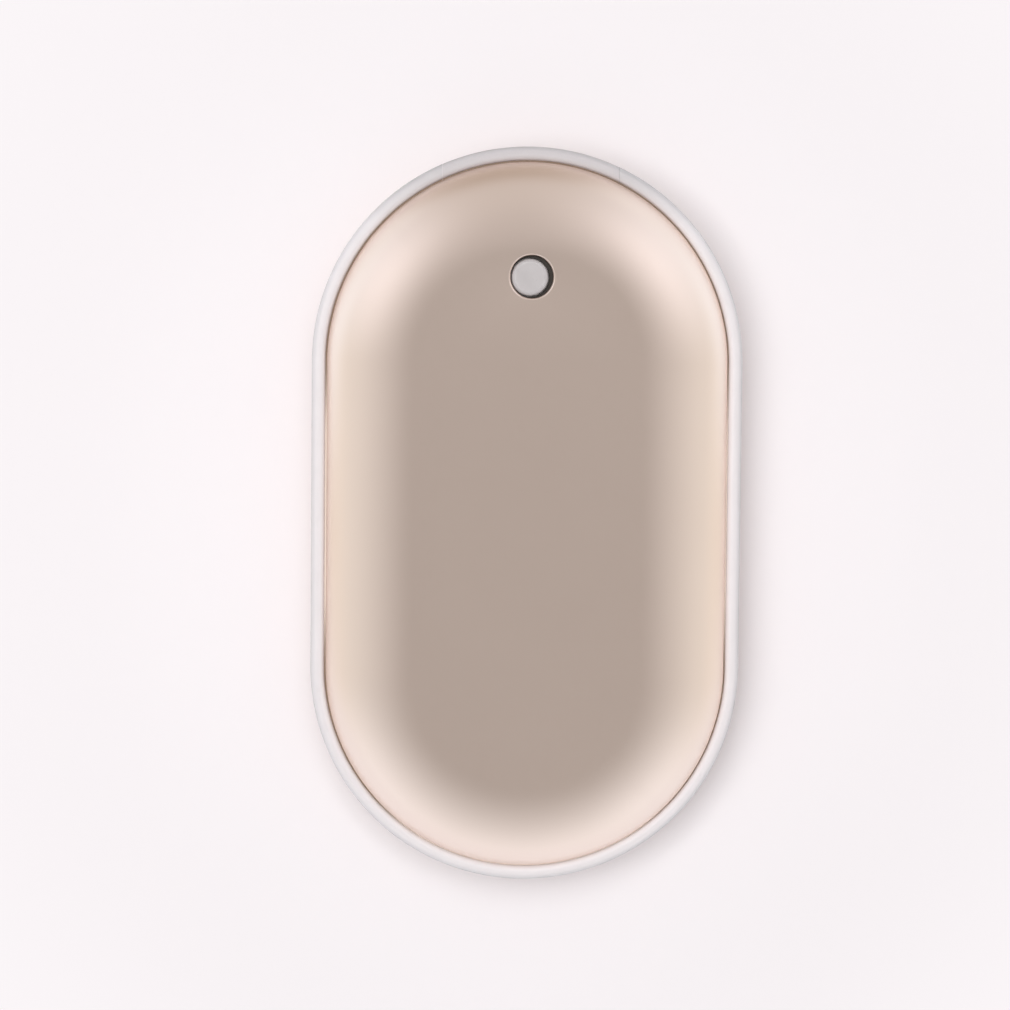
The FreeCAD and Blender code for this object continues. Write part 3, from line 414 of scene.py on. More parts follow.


# Glossy ABS: a clean white moulding whose skin took the mould's polish, with a faint waviness 2.5 mm long.
# Towards the button end its white is greyed by painted shade, so that it meets the panel's grey without a
# step.
WAVE_LENGTH = 2.5 * MM
WAVE_DEPTH = 0.004 * MM
PAINTED_SHADE_FROM = 37.0 * MM
PAINTED_SHADE_TO = 47.5 * MM
white, tree, at = blank("glossy_white_abs")
waves = speckle(tree, at, WAVE_LENGTH, 2.0)
place = add(tree, "ShaderNodeSeparateXYZ", {}, {0: at})
# Painted shade: the share by which the white greys towards the button end.
painted_shade_share = add(tree, "ShaderNodeMapRange", {"interpolation_type": "SMOOTHSTEP"},
              {"Value": place.outputs["Y"], "From Min": PAINTED_SHADE_FROM, "From Max": PAINTED_SHADE_TO})
pure = blend(tree, waves, colour("#E8E3E5"), colour("#EDE8EA"))
tint = blend(tree, painted_shade_share, pure, colour("#CECACC"))
polish = add(tree, "ShaderNodeMapRange", {}, {"Value": waves, "To Min": 0.16, "To Max": 0.24})
wavy = add(tree, "ShaderNodeBump", {}, {"Height": waves, "Distance": WAVE_DEPTH, "Strength": 0.5})
plastic = add(tree, "ShaderNodeBsdfPrincipled", {},
              {"Base Color": tint, "Roughness": polish, "IOR": 1.54, "Normal": wavy})
add(tree, "ShaderNodeOutputMaterial", {}, {"Surface": plastic})


def grained(name, dark, light, grain_mm, bump_mm, rough, ior=1.5, metallic=0.0, detail=3.0, strength=0.7):
    """A finish with one grain: two near colours, a spread of roughness and a bump, all of one real size."""
    finish, tree, at = blank(name)
    noise = speckle(tree, at, grain_mm * MM, detail)
    tint = blend(tree, noise, colour(dark), colour(light))
    spread = add(tree, "ShaderNodeMapRange", {}, {"Value": noise, "To Min": rough[0], "To Max": rough[1]})
    bumped = add(tree, "ShaderNodeBump", {},
                 {"Height": noise, "Distance": bump_mm * MM, "Strength": strength})
    shader = add(tree, "ShaderNodeBsdfPrincipled", {},
                 {"Base Color": tint, "Roughness": spread, "Metallic": metallic, "IOR": ior,
                  "Normal": bumped})
    add(tree, "ShaderNodeOutputMaterial", {}, {"Surface": shader})
    return finish


# Spark-eroded ABS: the port panel's mould was left with a fine even grain, 0.25 mm across, so it stays matt.
# The panel's grey is partly the moulding's own and partly painted shade of the dim button end.
grey = grained("fine_grained_grey_abs", "#CBC6C8", "#D1CCCE", 0.25, 0.008, (0.42, 0.56), 1.54,
               detail=2.0, strength=0.6)

# Painted seam shade, drawn as brown contact adhesive: a dark film on the floor of each rebate under a cover's
# lip, which makes the seam read as a dark line. The painted shade thins to pale along the straight sides and
# round the near end, where the seam is lit.
RIPPLE_SIZE = 0.8 * MM
SIDE_SEAM_LIT = (22.0 * MM, 10.0 * MM)
NEAR_END_SEAM_LIT = (-38.0 * MM, -45.0 * MM)
painted_seam_shade, tree, at = blank("painted_seam_shade_film")
ripple = speckle(tree, at, RIPPLE_SIZE, 2.0)
seam_shade_tone = blend(tree, ripple, colour("#8A7868"), colour("#9A8777"))
place = add(tree, "ShaderNodeSeparateXYZ", {}, {0: at})
from_middle = reckon(tree, "ABSOLUTE", place.outputs["Y"])
lit_side = add(tree, "ShaderNodeMapRange", {"interpolation_type": "SMOOTHSTEP"},
              {"Value": from_middle, "From Min": SIDE_SEAM_LIT[0], "From Max": SIDE_SEAM_LIT[1]})
lit_end = add(tree, "ShaderNodeMapRange", {"interpolation_type": "SMOOTHSTEP"},
             {"Value": place.outputs["Y"], "From Min": NEAR_END_SEAM_LIT[0], "From Max": NEAR_END_SEAM_LIT[1]})
seam_lit_share = reckon(tree, "MAXIMUM", lit_side, lit_end)
# The painted shade fades to pale where the seam is lit.
tint = blend(tree, seam_lit_share, seam_shade_tone, colour("#EADDD2"))
film = add(tree, "ShaderNodeBsdfPrincipled", {}, {"Base Color": tint, "Roughness": 0.6})
add(tree, "ShaderNodeOutputMaterial", {}, {"Surface": film})

NEARLY_LEVEL = 0.9
REBATE_MARGIN = 0.01 * MM


def seam_shaded(piece):
    """Put the painted seam shade on the floors of a rim piece's rebates."""
    piece.data.materials.append(painted_seam_shade)
    for face in piece.data.polygons:
        off_floor = abs(abs(face.center.z - MIDDLE) - WEB_HALF)
        if abs(face.normal.z) > NEARLY_LEVEL and off_floor < REBATE_MARGIN:
            face.material_index = 1


rim_sizes = {"Half spine": HALF_SPINE, "Radius": COVER_RADIUS, "Points": OUTLINE_POINTS}
rim_profile = sectioned(rim_section, COVER_RADIUS)
frame_ring = shaped("mid_frame_ring", rim_profile, True, rim_tree, {**rim_sizes, "Finish": white})
worked(frame_ring, [("DIFFERENCE", zone(PANEL_GAP))])
seam_shaded(frame_ring)
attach(frame_ring, "housing")
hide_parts("mid_frame")

USB_A_LEFT = -10.75 * MM
USB_A_RIGHT = 2.35 * MM
USB_A_CORNER = 0.7 * MM
MICRO_LEFT = 3.65 * MM
MICRO_RIGHT = 11.15 * MM
MICRO_TOP = 12.25 * MM
MICRO_CHAMFER = 0.9 * MM
SOCKET_FOOT = 9.65 * MM
SOCKET_TOP = 15.35 * MM
SOCKET_CLEARANCE = 0.2 * MM
WINDOW_STEPS = 8

grown = SOCKET_CLEARANCE
left, right = USB_A_LEFT - grown, USB_A_RIGHT + grown
low, high = SOCKET_FOOT - grown, SOCKET_TOP + grown
corner = USB_A_CORNER
usb_a_window = []
for x, z, start in ((right - corner, high - corner, 90), (left + corner, high - corner, 0),
                    (left + corner, low + corner, -90), (right - corner, low + corner, -180)):
    usb_a_window += arc_points((x, z), corner, start, start - 90, WINDOW_STEPS)
left, right, high = MICRO_LEFT - grown, MICRO_RIGHT + grown, MICRO_TOP + grown
micro_window = [(left, high), (right, high), (right, low + MICRO_CHAMFER), (right - MICRO_CHAMFER, low),
                (left + MICRO_CHAMFER, low), (left, low + MICRO_CHAMFER)]


def band(name, inner, outer, half_height):
    """A plain ring along the case's outline, in the panel's grey."""
    low = MIDDLE - half_height
    high = MIDDLE + half_height
    section = sectioned([(inner, low), (outer, low), (outer, high), (inner, high)], COVER_RADIUS)
    return shaped(name, section, True, rim_tree, {**rim_sizes, "Finish": grey})


def windows():
    """Cuts for both sockets, the small one first."""
    return [("DIFFERENCE", prism(outline, HALF_SPINE, CUT_END))
            for outline in (micro_window, usb_a_window)]


panel = shaped("port_panel_moulding", rim_profile, True, rim_tree, {**rim_sizes, "Finish": grey})
ears = worked(band("ears", EAR_INNER, EAR_OUTER, EAR_HALF), [("INTERSECT", zone(EAR_REACH))])
clip = band("clip", EAR_INNER, EAR_ROOT, EAR_HALF)
worked(clip, [("INTERSECT", zone(0)), ("UNION", ears)] + windows())
worked(panel, [("INTERSECT", zone(0))] + windows() + [("UNION", clip)])
seam_shaded(panel)
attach(panel, "housing")
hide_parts("port_panel")

# Button: a round cap moulded in cloudy grey-white polycarbonate, with a flange that stops it under the liner
# and a stem that stands on the switch. The cover's hole lies a little to its right, so the dark gap round it
# is a crescent.
CAP_RADIUS = 2.45 * MM
CAP_Y = 32.3 * MM
CAP_TOP = 25.1 * MM
CAP_EDGE = 0.5 * MM
CAP_STEPS = 12
CAP_RING = 0.1 * MM
CAP_POINTS = 128
FLANGE_RADIUS = 3.8 * MM
FLANGE_TOP = 22.4 * MM
FLANGE_FOOT = 21.4 * MM
STEM_RADIUS = 1.5 * MM
STEM_FOOT = 16.67 * MM
AXLE_RADIUS = 0.1 * MM

turned_tree, given = geometry_tree("turned about the button's axis", [
    ("Section", "Geometry"), ("Points", "Int"), ("Axis Y", "Float"), ("Finish", "Material")])
axle = add(turned_tree, "GeometryNodeCurvePrimitiveCircle", {},
           {"Resolution": given["Points"], "Radius": AXLE_RADIUS})
upright = add(turned_tree, "GeometryNodeSetCurveNormal", {"mode": "Z_UP"}, {"Curve": axle})
spun = add(turned_tree, "GeometryNodeCurveToMesh", {},
           {"Curve": upright, "Profile Curve": given["Section"]})
stand = add(turned_tree, "ShaderNodeCombineXYZ", {}, {"Y": given["Axis Y"]})
stood = add(turned_tree, "GeometryNodeTransform", {}, {"Geometry": spun, "Translation": stand})
welded = add(turned_tree, "GeometryNodeMergeByDistance", {}, {"Geometry": stood, "Distance": WELD})
hand_out(turned_tree, welded, given["Finish"])

# Cloudy polycarbonate: milky with soft pale drifts about 3 mm across, and a fine satin from the mould.
DRIFT_SIZE = 3 * MM
SKIN_GRAIN = 0.2 * MM
SKIN_DEPTH = 0.003 * MM
cloudy, tree, at = blank("cloudy_polycarbonate")
drifts = add(tree, "ShaderNodeTexNoise", {},
             {"Vector": at, "Scale": 1 / DRIFT_SIZE, "Detail": 2.0, "Distortion": 0.4})
milk = blend(tree, drifts.outputs["Fac"], colour("#BEB8B8"), colour("#CFC9C9"))
skin = speckle(tree, at, SKIN_GRAIN, 1.0)
satin = add(tree, "ShaderNodeMapRange", {}, {"Value": skin, "To Min": 0.24, "To Max": 0.36})
pebbled = add(tree, "ShaderNodeBump", {}, {"Height": skin, "Distance": SKIN_DEPTH, "Strength": 0.5})
plastic = add(tree, "ShaderNodeBsdfPrincipled", {},
              {"Base Color": milk, "Roughness": satin, "IOR": 1.58, "Normal": pebbled})
add(tree, "ShaderNodeOutputMaterial", {}, {"Surface": plastic})

cap_section = [(0, CAP_TOP), (CAP_RADIUS - CAP_EDGE - CAP_RING, CAP_TOP)]
cap_section += arc_points((CAP_RADIUS - CAP_EDGE, CAP_TOP - CAP_EDGE), CAP_EDGE, 0, 90, CAP_STEPS)
cap_section += [(CAP_RADIUS, FLANGE_TOP), (FLANGE_RADIUS, FLANGE_TOP), (FLANGE_RADIUS, FLANGE_FOOT),
                (STEM_RADIUS, FLANGE_FOOT), (STEM_RADIUS, STEM_FOOT), (0, STEM_FOOT)]
cap = shaped("button_cap", sectioned(cap_section, AXLE_RADIUS), False, turned_tree,
             {"Points": CAP_POINTS, "Axis Y": CAP_Y, "Finish": cloudy})
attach(cap, "button")
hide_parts("button")

# Liners: two inner shells injection moulded in dark grey ABS, with posts, ribs and a collar round the button.
# Four self-tapping screws draw them together over the rim, and two more hold the board to the back one.


def finish_nodes(finish, *names):
    """Give CAD nodes that stay as they are a finish."""
    for name in names:
        slots = nodes[name].data.materials
        slots.clear()
        slots.append(finish)


# Dark grey ABS, spark-eroded mould: a dull skin with a 0.3 mm grain.
finish_nodes(grained("grained_dark_grey_abs", "#3B3733", "#45403B", 0.3, 0.012, (0.45, 0.62), 1.54),
             "front_liner", "back_liner")
# Zinc-plated steel screws: pale metal, faintly streaked by the plating bath.
finish_nodes(grained("zinc_plated_steel", "#A9ABAE", "#C6C8CA", 0.5, 0.004, (0.24, 0.38), 1.5, 1.0),
             "case_screws", "board_screws")

# Heating films: an etched foil track between two sheets of amber polyimide, stuck to the inside of a cover.
# A tail of each film is folded down through the liner, and two silicone wires take it to the board.
TRACK_PITCH = 2.6 * MM
TRACK_HEIGHT = 0.03 * MM
WAVE_NODE_PERIOD = pi / 10
film, tree, at = blank("amber_polyimide_film")
track = add(tree, "ShaderNodeTexWave", {"bands_direction": "X"},
            {"Vector": at, "Scale": WAVE_NODE_PERIOD / TRACK_PITCH, "Distortion": 0.0})
etched = add(tree, "ShaderNodeMapRange", {"interpolation_type": "SMOOTHSTEP"},
             {"Value": track.outputs["Fac"], "From Min": 0.42, "From Max": 0.58})
sheet = blend(tree, etched, colour("#B5741C"), colour("#8A5A2B"))
ridged = add(tree, "ShaderNodeBump", {}, {"Height": etched, "Distance": TRACK_HEIGHT, "Strength": 0.6})
foil = add(tree, "ShaderNodeBsdfPrincipled", {},
           {"Base Color": sheet, "Roughness": 0.3, "IOR": 1.7, "Normal": ridged})
add(tree, "ShaderNodeOutputMaterial", {}, {"Surface": foil})
finish_nodes(film, "front_heater", "back_heater")
# Silicone rubber insulation: soft, dull and slightly dusty.
finish_nodes(grained("white_silicone_rubber", "#DAD8D2", "#E6E4DF", 0.4, 0.006, (0.55, 0.7), 1.41),
             "front_heater_leads", "back_heater_leads")

# Cells: two steel cans side by side, each in a shrunk blue PVC sleeve that leaves the raised contact bare,
# with a ring of fish paper on the shoulder. Strips of soft foam under the front liner stop them rattling.
SLEEVE_END = 28.15 * MM
SLEEVE_RIPPLE = 1.8 * MM
CREASE_DEPTH = 0.02 * MM
wrap, tree, at = blank("shrunk_blue_pvc_sleeve")
place = add(tree, "ShaderNodeSeparateXYZ", {}, {0: at})
bare = reckon(tree, "GREATER_THAN", place.outputs["Y"], SLEEVE_END)
shrink = speckle(tree, at, SLEEVE_RIPPLE, 3.0)
sleeve = blend(tree, shrink, colour("#2C5F93"), colour("#3A6FA5"))
shown = blend(tree, bare, sleeve, colour("#B9B7B1"))
creased = add(tree, "ShaderNodeBump", {}, {"Height": shrink, "Distance": CREASE_DEPTH, "Strength": 0.5})
skin = add(tree, "ShaderNodeBsdfPrincipled", {},
           {"Base Color": shown, "Metallic": bare, "Roughness": 0.32, "IOR": 1.53,
            "Normal": creased})
add(tree, "ShaderNodeOutputMaterial", {}, {"Surface": skin})
finish_nodes(wrap, "cell_left", "cell_right")
# Fish paper: pressed cotton fibre, pale and furry at 0.4 mm.
finish_nodes(grained("pressed_fish_paper", "#D6D1BE", "#E3DFCF", 0.4, 0.02, (0.75, 0.9), 1.5),
             "cell_insulators")

# Closed-cell foam: dark grey rubber froth with 0.5 mm cells that show as pits.
foam = grained("closed_cell_foam", "#2E2E30", "#454548", 0.5, 0.15, (0.8, 0.95), 1.5)
FOAM_X = 9.25 * MM
FOAM_HALF_WIDTH = 3.0 * MM
FOAM_INSET = 0.02 * MM
FOAM_EDGE = 0.22 * MM
FOAM_CREASE = radians(40)
low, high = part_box("foam_strips")
half_length = (high.y - low.y) / 2 - FOAM_INSET
half_height = (high.z - low.z) / 2 - FOAM_INSET
half = Vector((FOAM_HALF_WIDTH - FOAM_INSET, half_length, half_height))
work = bmesh.new()
for x in (-FOAM_X, FOAM_X):
    centre = Vector((x, (low.y + high.y) / 2, (low.z + high.z) / 2))
    block = Matrix.Translation(centre) @ Matrix.Diagonal(half.to_4d())
    strip = bmesh.ops.create_cube(work, size=2.0, matrix=block)
    edges = {edge for corner in strip["verts"] for edge in corner.link_edges}
    bmesh.ops.bevel(work, geom=list(edges), offset=FOAM_EDGE, segments=4, profile=0.5, affect="EDGES")
mesh = bpy.data.meshes.new("foam_pads")
work.to_mesh(mesh)
work.free()
mesh.shade_smooth()
mesh.set_sharp_from_angle(angle=FOAM_CREASE)
mesh.materials.append(foam)
pads = in_scene("foam_pads", mesh)
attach(pads, "housing")
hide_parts("foam_strips")

# Battery strips and leads: nickel strip spot-welded across the contacts, a black silicone lead back to the
# board, and a thermistor bead on two yellow wires that lies in the valley between the cells.
# Nickel strip: rolled metal with a fine grain along its length.
finish_nodes(grained("rolled_nickel_strip", "#B4B1AA", "#CFCCC5", 0.35, 0.004, (0.25, 0.4), 1.5, 1.0),
             "plus_strip", "minus_strip")
finish_nodes(grained("black_silicone_rubber", "#19191A", "#242425", 0.4, 0.006, (0.5, 0.66), 1.41),
             "minus_lead")
# Dipped epoxy: a glassy drop, slightly orange-peeled at 0.6 mm.
finish_nodes(grained("dipped_black_epoxy", "#191A1C", "#22242A", 0.6, 0.01, (0.15, 0.25), 1.55), "thermistor")
finish_nodes(grained("yellow_pvc_insulation", "#D9B21E", "#E8C63A", 0.4, 0.005, (0.35, 0.5), 1.53),
             "thermistor_leads")

# Control board: glass-epoxy laminate under green solder mask, screwed to the back liner. It carries the
# tactile switch under the button, two lamps beside it, the inductor, two chips and a row of capacitors.
BOARD_UNDER = 8.45 * MM
FACE_SLOPE = 0.5
GLASS_WEAVE = 0.2 * MM
TRACK_RISE = 0.03 * MM
laminate, tree, at = blank("green_masked_glass_epoxy")
facing = add(tree, "ShaderNodeSeparateXYZ", {}, {0: add(tree, "ShaderNodeNewGeometry").outputs["Normal"]})
flatness = reckon(tree, "ABSOLUTE", facing.outputs["Z"])
masked = reckon(tree, "GREATER_THAN", flatness, FACE_SLOPE)
# Copper tracks about 0.8 mm apart show through the mask as a slightly lighter, raised maze.
copper = add(tree, "ShaderNodeTexBrick", {"offset": 0.5},
             {"Vector": at, "Scale": 1.0, "Mortar Size": 0.12 * MM, "Brick Width": 2.4 * MM,
              "Row Height": 0.8 * MM, "Color1": colour("#14513A"), "Color2": colour("#176044"),
              "Mortar": colour("#0F3F2C")})
weave = speckle(tree, at, GLASS_WEAVE, 2.0)
edge = blend(tree, weave, colour("#B7AE84"), colour("#CFC69E"))
shown = blend(tree, masked, edge, copper.outputs["Color"])
raised = add(tree, "ShaderNodeBump", {"invert": True},
             {"Height": copper.outputs["Fac"], "Distance": TRACK_RISE, "Strength": 0.6})
board = add(tree, "ShaderNodeBsdfPrincipled", {},
            {"Base Color": shown, "Roughness": 0.32, "IOR": 1.55, "Normal": raised})
add(tree, "ShaderNodeOutputMaterial", {}, {"Surface": board})
finish_nodes(laminate, "main_board")

# Glass-filled nylon: near black, with pale fibre ends 0.15 mm across.
finish_nodes(grained("glass_filled_nylon", "#1C1C1D", "#333335", 0.15, 0.006, (0.4, 0.6), 1.53),
             "switch_base", "switch_plunger")
# Stamped sheet steel with tin plate: bright, lightly scratched.
steel = grained("tin_plated_sheet_steel", "#B2B3B5", "#CBCCCE", 0.4, 0.003, (0.22, 0.36), 1.5, 1.0)
finish_nodes(steel, "switch_plate")
# Diffused lamp resin: milky with a faint warm cast.
finish_nodes(grained("diffused_lamp_resin", "#E7E4D6", "#F1EFE6", 0.5, 0.004, (0.2, 0.32), 1.52),
             "status_leds")
# Pressed ferrite: charcoal powder core, gritty at 0.2 mm.
finish_nodes(grained("pressed_ferrite", "#313236", "#434449", 0.2, 0.02, (0.55, 0.75), 1.9), "inductor")
# Moulded chip resin: matt black with a fine grit.
resin = grained("moulded_chip_resin", "#17181A", "#222326", 0.12, 0.006, (0.5, 0.65), 1.55)
finish_nodes(resin, "control_chips")

CAPACITOR_MIDDLE = 41.7 * MM
CAPACITOR_BODY = 0.62 * MM
CERAMIC_GRAIN = 0.2 * MM
chip_cap, tree, at = blank("fired_ceramic_with_tinned_ends")
place = add(tree, "ShaderNodeSeparateXYZ", {}, {0: at})
from_middle = reckon(tree, "SUBTRACT", place.outputs["Y"], CAPACITOR_MIDDLE)
distance = reckon(tree, "ABSOLUTE", from_middle)
tinned = reckon(tree, "GREATER_THAN", distance, CAPACITOR_BODY)
fired = speckle(tree, at, CERAMIC_GRAIN, 2.0)
body = blend(tree, fired, colour("#A98A63"), colour("#BC9E78"))
shown = blend(tree, tinned, body, colour("#C4C5C7"))
ceramic = add(tree, "ShaderNodeBsdfPrincipled", {},
              {"Base Color": shown, "Metallic": tinned, "Roughness": 0.38, "IOR": 1.6})
add(tree, "ShaderNodeOutputMaterial", {}, {"Surface": ceramic})
finish_nodes(chip_cap, "board_capacitors")

# Chip legs: four gull-wing legs along each long side of both chips, stamped from tinned sheet, bent down and
# soldered to the board's underside.
LEGS_A_SIDE = 4
LEG_PITCH = 1.27 * MM
LEG_WIDTH = 0.4 * MM
LEG_THICKNESS = 0.18 * MM
LEG_BENDS = (-0.1 * MM, 0.3 * MM, 0.5 * MM, 1.0 * MM)
SOLDER_FILM = 0.01 * MM
CHIP_HALF_LENGTH = 1.95 * MM
CHIP_HEIGHT = 1.5 * MM
CHIP_X = 6.5 * MM
CHIP_Y = 37.7 * MM
leg_tree, given = geometry_tree("legs of two chips", [
    ("Leg", "Geometry"), ("Legs a side", "Int"), ("Pitch", "Float"), ("Width", "Float"),
    ("Thickness", "Float"), ("Chip X", "Float"), ("Chip Y", "Float"), ("Finish", "Material")])
blade = add(leg_tree, "GeometryNodeCurvePrimitiveQuadrilateral", {},
            {"Width": given["Width"], "Height": given["Thickness"]})
path = add(leg_tree, "GeometryNodeSetCurveNormal", {"mode": "FREE"},
           {"Curve": given["Leg"], "Normal": (1, 0, 0)})
leg = add(leg_tree, "GeometryNodeCurveToMesh", {},
          {"Curve": path, "Profile Curve": blade, "Fill Caps": True})
last = reckon(leg_tree, "SUBTRACT", given["Legs a side"], 1.0)
reach = reckon(leg_tree, "MULTIPLY", last, given["Pitch"])
first = reckon(leg_tree, "MULTIPLY", reach, -0.5)
start = add(leg_tree, "ShaderNodeCombineXYZ", {}, {"X": first})
step = add(leg_tree, "ShaderNodeCombineXYZ", {}, {"X": given["Pitch"]})
row = add(leg_tree, "GeometryNodeMeshLine", {},
          {"Count": given["Legs a side"], "Start Location": start, "Offset": step})
one_side = add(leg_tree, "GeometryNodeInstanceOnPoints", {}, {"Points": row, "Instance": leg})
other_side = add(leg_tree, "GeometryNodeTransform", {}, {"Geometry": one_side, "Rotation": (0, 0, pi)})
both = add(leg_tree, "GeometryNodeJoinGeometry")
leg_tree.links.new(one_side.outputs[0], both.inputs[0])
leg_tree.links.new(other_side.outputs[0], both.inputs[0])
minus_x = reckon(leg_tree, "MULTIPLY", given["Chip X"], -1.0)
chip_gap = reckon(leg_tree, "MULTIPLY", given["Chip X"], 2.0)
left_chip = add(leg_tree, "ShaderNodeCombineXYZ", {}, {"X": minus_x, "Y": given["Chip Y"]})
next_chip = add(leg_tree, "ShaderNodeCombineXYZ", {}, {"X": chip_gap})
chips = add(leg_tree, "GeometryNodeMeshLine", {},
            {"Count": 2, "Start Location": left_chip, "Offset": next_chip})
placed = add(leg_tree, "GeometryNodeInstanceOnPoints", {}, {"Points": chips, "Instance": both})
hand_out(leg_tree, placed, given["Finish"])
knee = BOARD_UNDER - CHIP_HEIGHT / 2
foot = BOARD_UNDER - LEG_THICKNESS / 2 - SOLDER_FILM
root, shoulder, heel, toe = [CHIP_HALF_LENGTH + bend for bend in LEG_BENDS]
leg_path = [(0, root, knee), (0, shoulder, knee), (0, heel, foot), (0, toe, foot)]
legs = shaped("chip_legs", leg_path, False, leg_tree,
              {"Legs a side": LEGS_A_SIDE, "Pitch": LEG_PITCH, "Width": LEG_WIDTH, "Thickness": LEG_THICKNESS,
               "Chip X": CHIP_X, "Chip Y": CHIP_Y, "Finish": steel})
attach(legs, "housing")

# Sockets: the output socket and the small charging socket on the board's front edge. Each is a folded
# tin-plated steel shell round a moulded tongue, the larger one with four gold-plated blades.
SHELL_CREASE = radians(32)
# Liquid crystal polymer: ivory-white moulding with a faint flow grain.
finish_nodes(grained("white_socket_polymer", "#D9D7D0", "#E5E3DC", 0.5, 0.006, (0.35, 0.5), 1.6),
             "usb_a_tongue", "micro_usb_tongue")
# Hard gold plate over bronze blades, faintly brushed by the plugs that slid along them.
finish_nodes(grained("gold_plated_bronze", "#D8AE5A", "#E6C47A", 0.3, 0.003, (0.2, 0.34), 1.5, 1.0),
             "usb_a_contacts")


def smoothed(node, name, finish):
    """A socket shell with its rounded corners shaded round: the CAD solid's own faces, welded."""
    mesh = nodes[node].data.copy()
    mesh.name = name
    welded_smooth(mesh, SHELL_CREASE)
    mesh.materials.clear()
    mesh.materials.append(finish)
    piece = in_scene(name, mesh)
    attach(piece, "housing")
    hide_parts(node)
    return piece


smoothed("usb_a_shell", "usb_a_folded_shell", steel)
smoothed("micro_usb_shell", "micro_usb_folded_shell", steel)

# Snap dome of the switch: a disc pressed from thin sheet steel, whose foot stands on the floor of the
# switch's well. The plunger flattens it as the button goes down, and it springs back by itself.
DOME_WALL = 0.1 * MM
DOME_STEPS = 12
DOME_POINTS = 64
dome_low, dome_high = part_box("switch_dome")
dome_rise = dome_high[2] - dome_low[2]
dome_radius = (dome_high[0] - dome_low[0]) / 2
ball = (dome_radius ** 2 + dome_rise ** 2) / (2 * dome_rise)
ball_centre = (0, dome_high[2] - ball)
outer_turn = degrees(asin(dome_radius / ball))
inner_turn = degrees(acos((ball - dome_rise) / (ball - DOME_WALL)))
dome_section = arc_points(ball_centre, ball, 0, outer_turn, DOME_STEPS)
dome_section += arc_points(ball_centre, ball - DOME_WALL, inner_turn, 0, DOME_STEPS)
dome = shaped("switch_snap_dome", sectioned(dome_section, AXLE_RADIUS), False, turned_tree,
              {"Points": DOME_POINTS, "Axis Y": CAP_Y, "Finish": steel})
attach(dome, "housing")
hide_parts("switch_dome")
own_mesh(dome)

# The stage: a pale sheet that the object lies on, in a studio with a dim ceiling and bright walls. Round the
# object the sheet is shaded and keeps the shadow, and further out it is a clean background at its own colour,
# which the metal mirrors brighter.
FLOOR_REACH = 1.5
FLOOR_SINK = 0.02 * MM
SHADED_REACH = 48 * MM
CLEAN_REACH = 95 * MM
MIRRORED_REACH = (32 * MM, 62 * MM)
ROOM_LEAN = 0.09
SHEET_STOPS = ((0.0, (1.0, 1.04, 1.12)), (0.15, (1.0, 1.06, 1.15)), (0.45, (0.93, 0.93, 0.88)),
               (0.75, (1.1, 1.22, 1.33)), (0.92, (1.0, 1.06, 1.12)), (1.0, (0.5, 0.45, 0.4)))


def round_about(tree, vector, stops):
    """Light that changes from the near end (0) by the sides (0.5) to the far end (1), by a vector seen from
    above. Both ends of the room lie a little to the left of the object's own axis."""
    level = add(tree, "ShaderNodeVectorMath", {"operation": "MULTIPLY"}, {0: vector, 1: (1, 1, 0)})
    level = add(tree, "ShaderNodeVectorMath", {"operation": "NORMALIZE"}, {0: level})
    level = add(tree, "ShaderNodeVectorMath", {"operation": "ADD"}, {0: level, 1: (ROOM_LEAN, 0, 0)})
    level = add(tree, "ShaderNodeVectorMath", {"operation": "NORMALIZE"}, {0: level})
    way = add(tree, "ShaderNodeSeparateXYZ", {}, {0: level})
    along = add(tree, "ShaderNodeMapRange", {},
                {"Value": way.outputs["Y"], "From Min": -1.0, "From Max": 1.0})
    lights = add(tree, "ShaderNodeValToRGB", {}, {0: along})
    ramp = lights.color_ramp
    ramp.interpolation = "EASE"
    for stop, (position, light) in enumerate(stops):
        element = ramp.elements[stop] if stop < len(ramp.elements) else ramp.elements.new(position)
        element.position = position
        element.color = (*light, 1)
    return lights.outputs["Color"]


floor_mesh = bpy.data.meshes.new("floor")
corners = [(x * FLOOR_REACH, y * FLOOR_REACH, 0) for x, y in ((-1, -1), (1, -1), (1, 1), (-1, 1))]
floor_mesh.from_pydata(corners, [], [(0, 1, 2, 3)])
floor = in_scene("floor", floor_mesh)
floor.location.z = -FLOOR_SINK
paper, tree, at = blank("pale_studio_paper")
PAPER_COLOUR = colour("#FBF6F8")
sheet = add(tree, "ShaderNodeBsdfDiffuse", {}, {"Color": PAPER_COLOUR})
clean = add(tree, "ShaderNodeEmission", {}, {"Color": PAPER_COLOUR, "Strength": 1.0})
ray = add(tree, "ShaderNodeLightPath")
mirrored = reckon(tree, "MAXIMUM", ray.outputs["Is Glossy Ray"], ray.outputs["Is Transmission Ray"])
place = add(tree, "ShaderNodeSeparateXYZ", {}, {0: at})
along = reckon(tree, "ABSOLUTE", place.outputs["Y"])
past = reckon(tree, "SUBTRACT", along, HALF_SPINE)
past = reckon(tree, "MAXIMUM", past, 0.0)
off_spine = add(tree, "ShaderNodeCombineXYZ", {}, {"X": place.outputs["X"], "Y": past})
away = add(tree, "ShaderNodeVectorMath", {"operation": "LENGTH"}, {0: off_spine})
outer = add(tree, "ShaderNodeMapRange", {"interpolation_type": "SMOOTHSTEP"},
            {"Value": away.outputs["Value"], "From Min": SHADED_REACH, "From Max": CLEAN_REACH})
beyond = reckon(tree, "MULTIPLY", outer, ray.outputs["Is Camera Ray"])
shown = add(tree, "ShaderNodeMixShader", {}, {0: beyond, 1: sheet, 2: clean})
bright = round_about(tree, at, SHEET_STOPS)
seen = add(tree, "ShaderNodeEmission", {}, {"Color": bright, "Strength": 1.0})
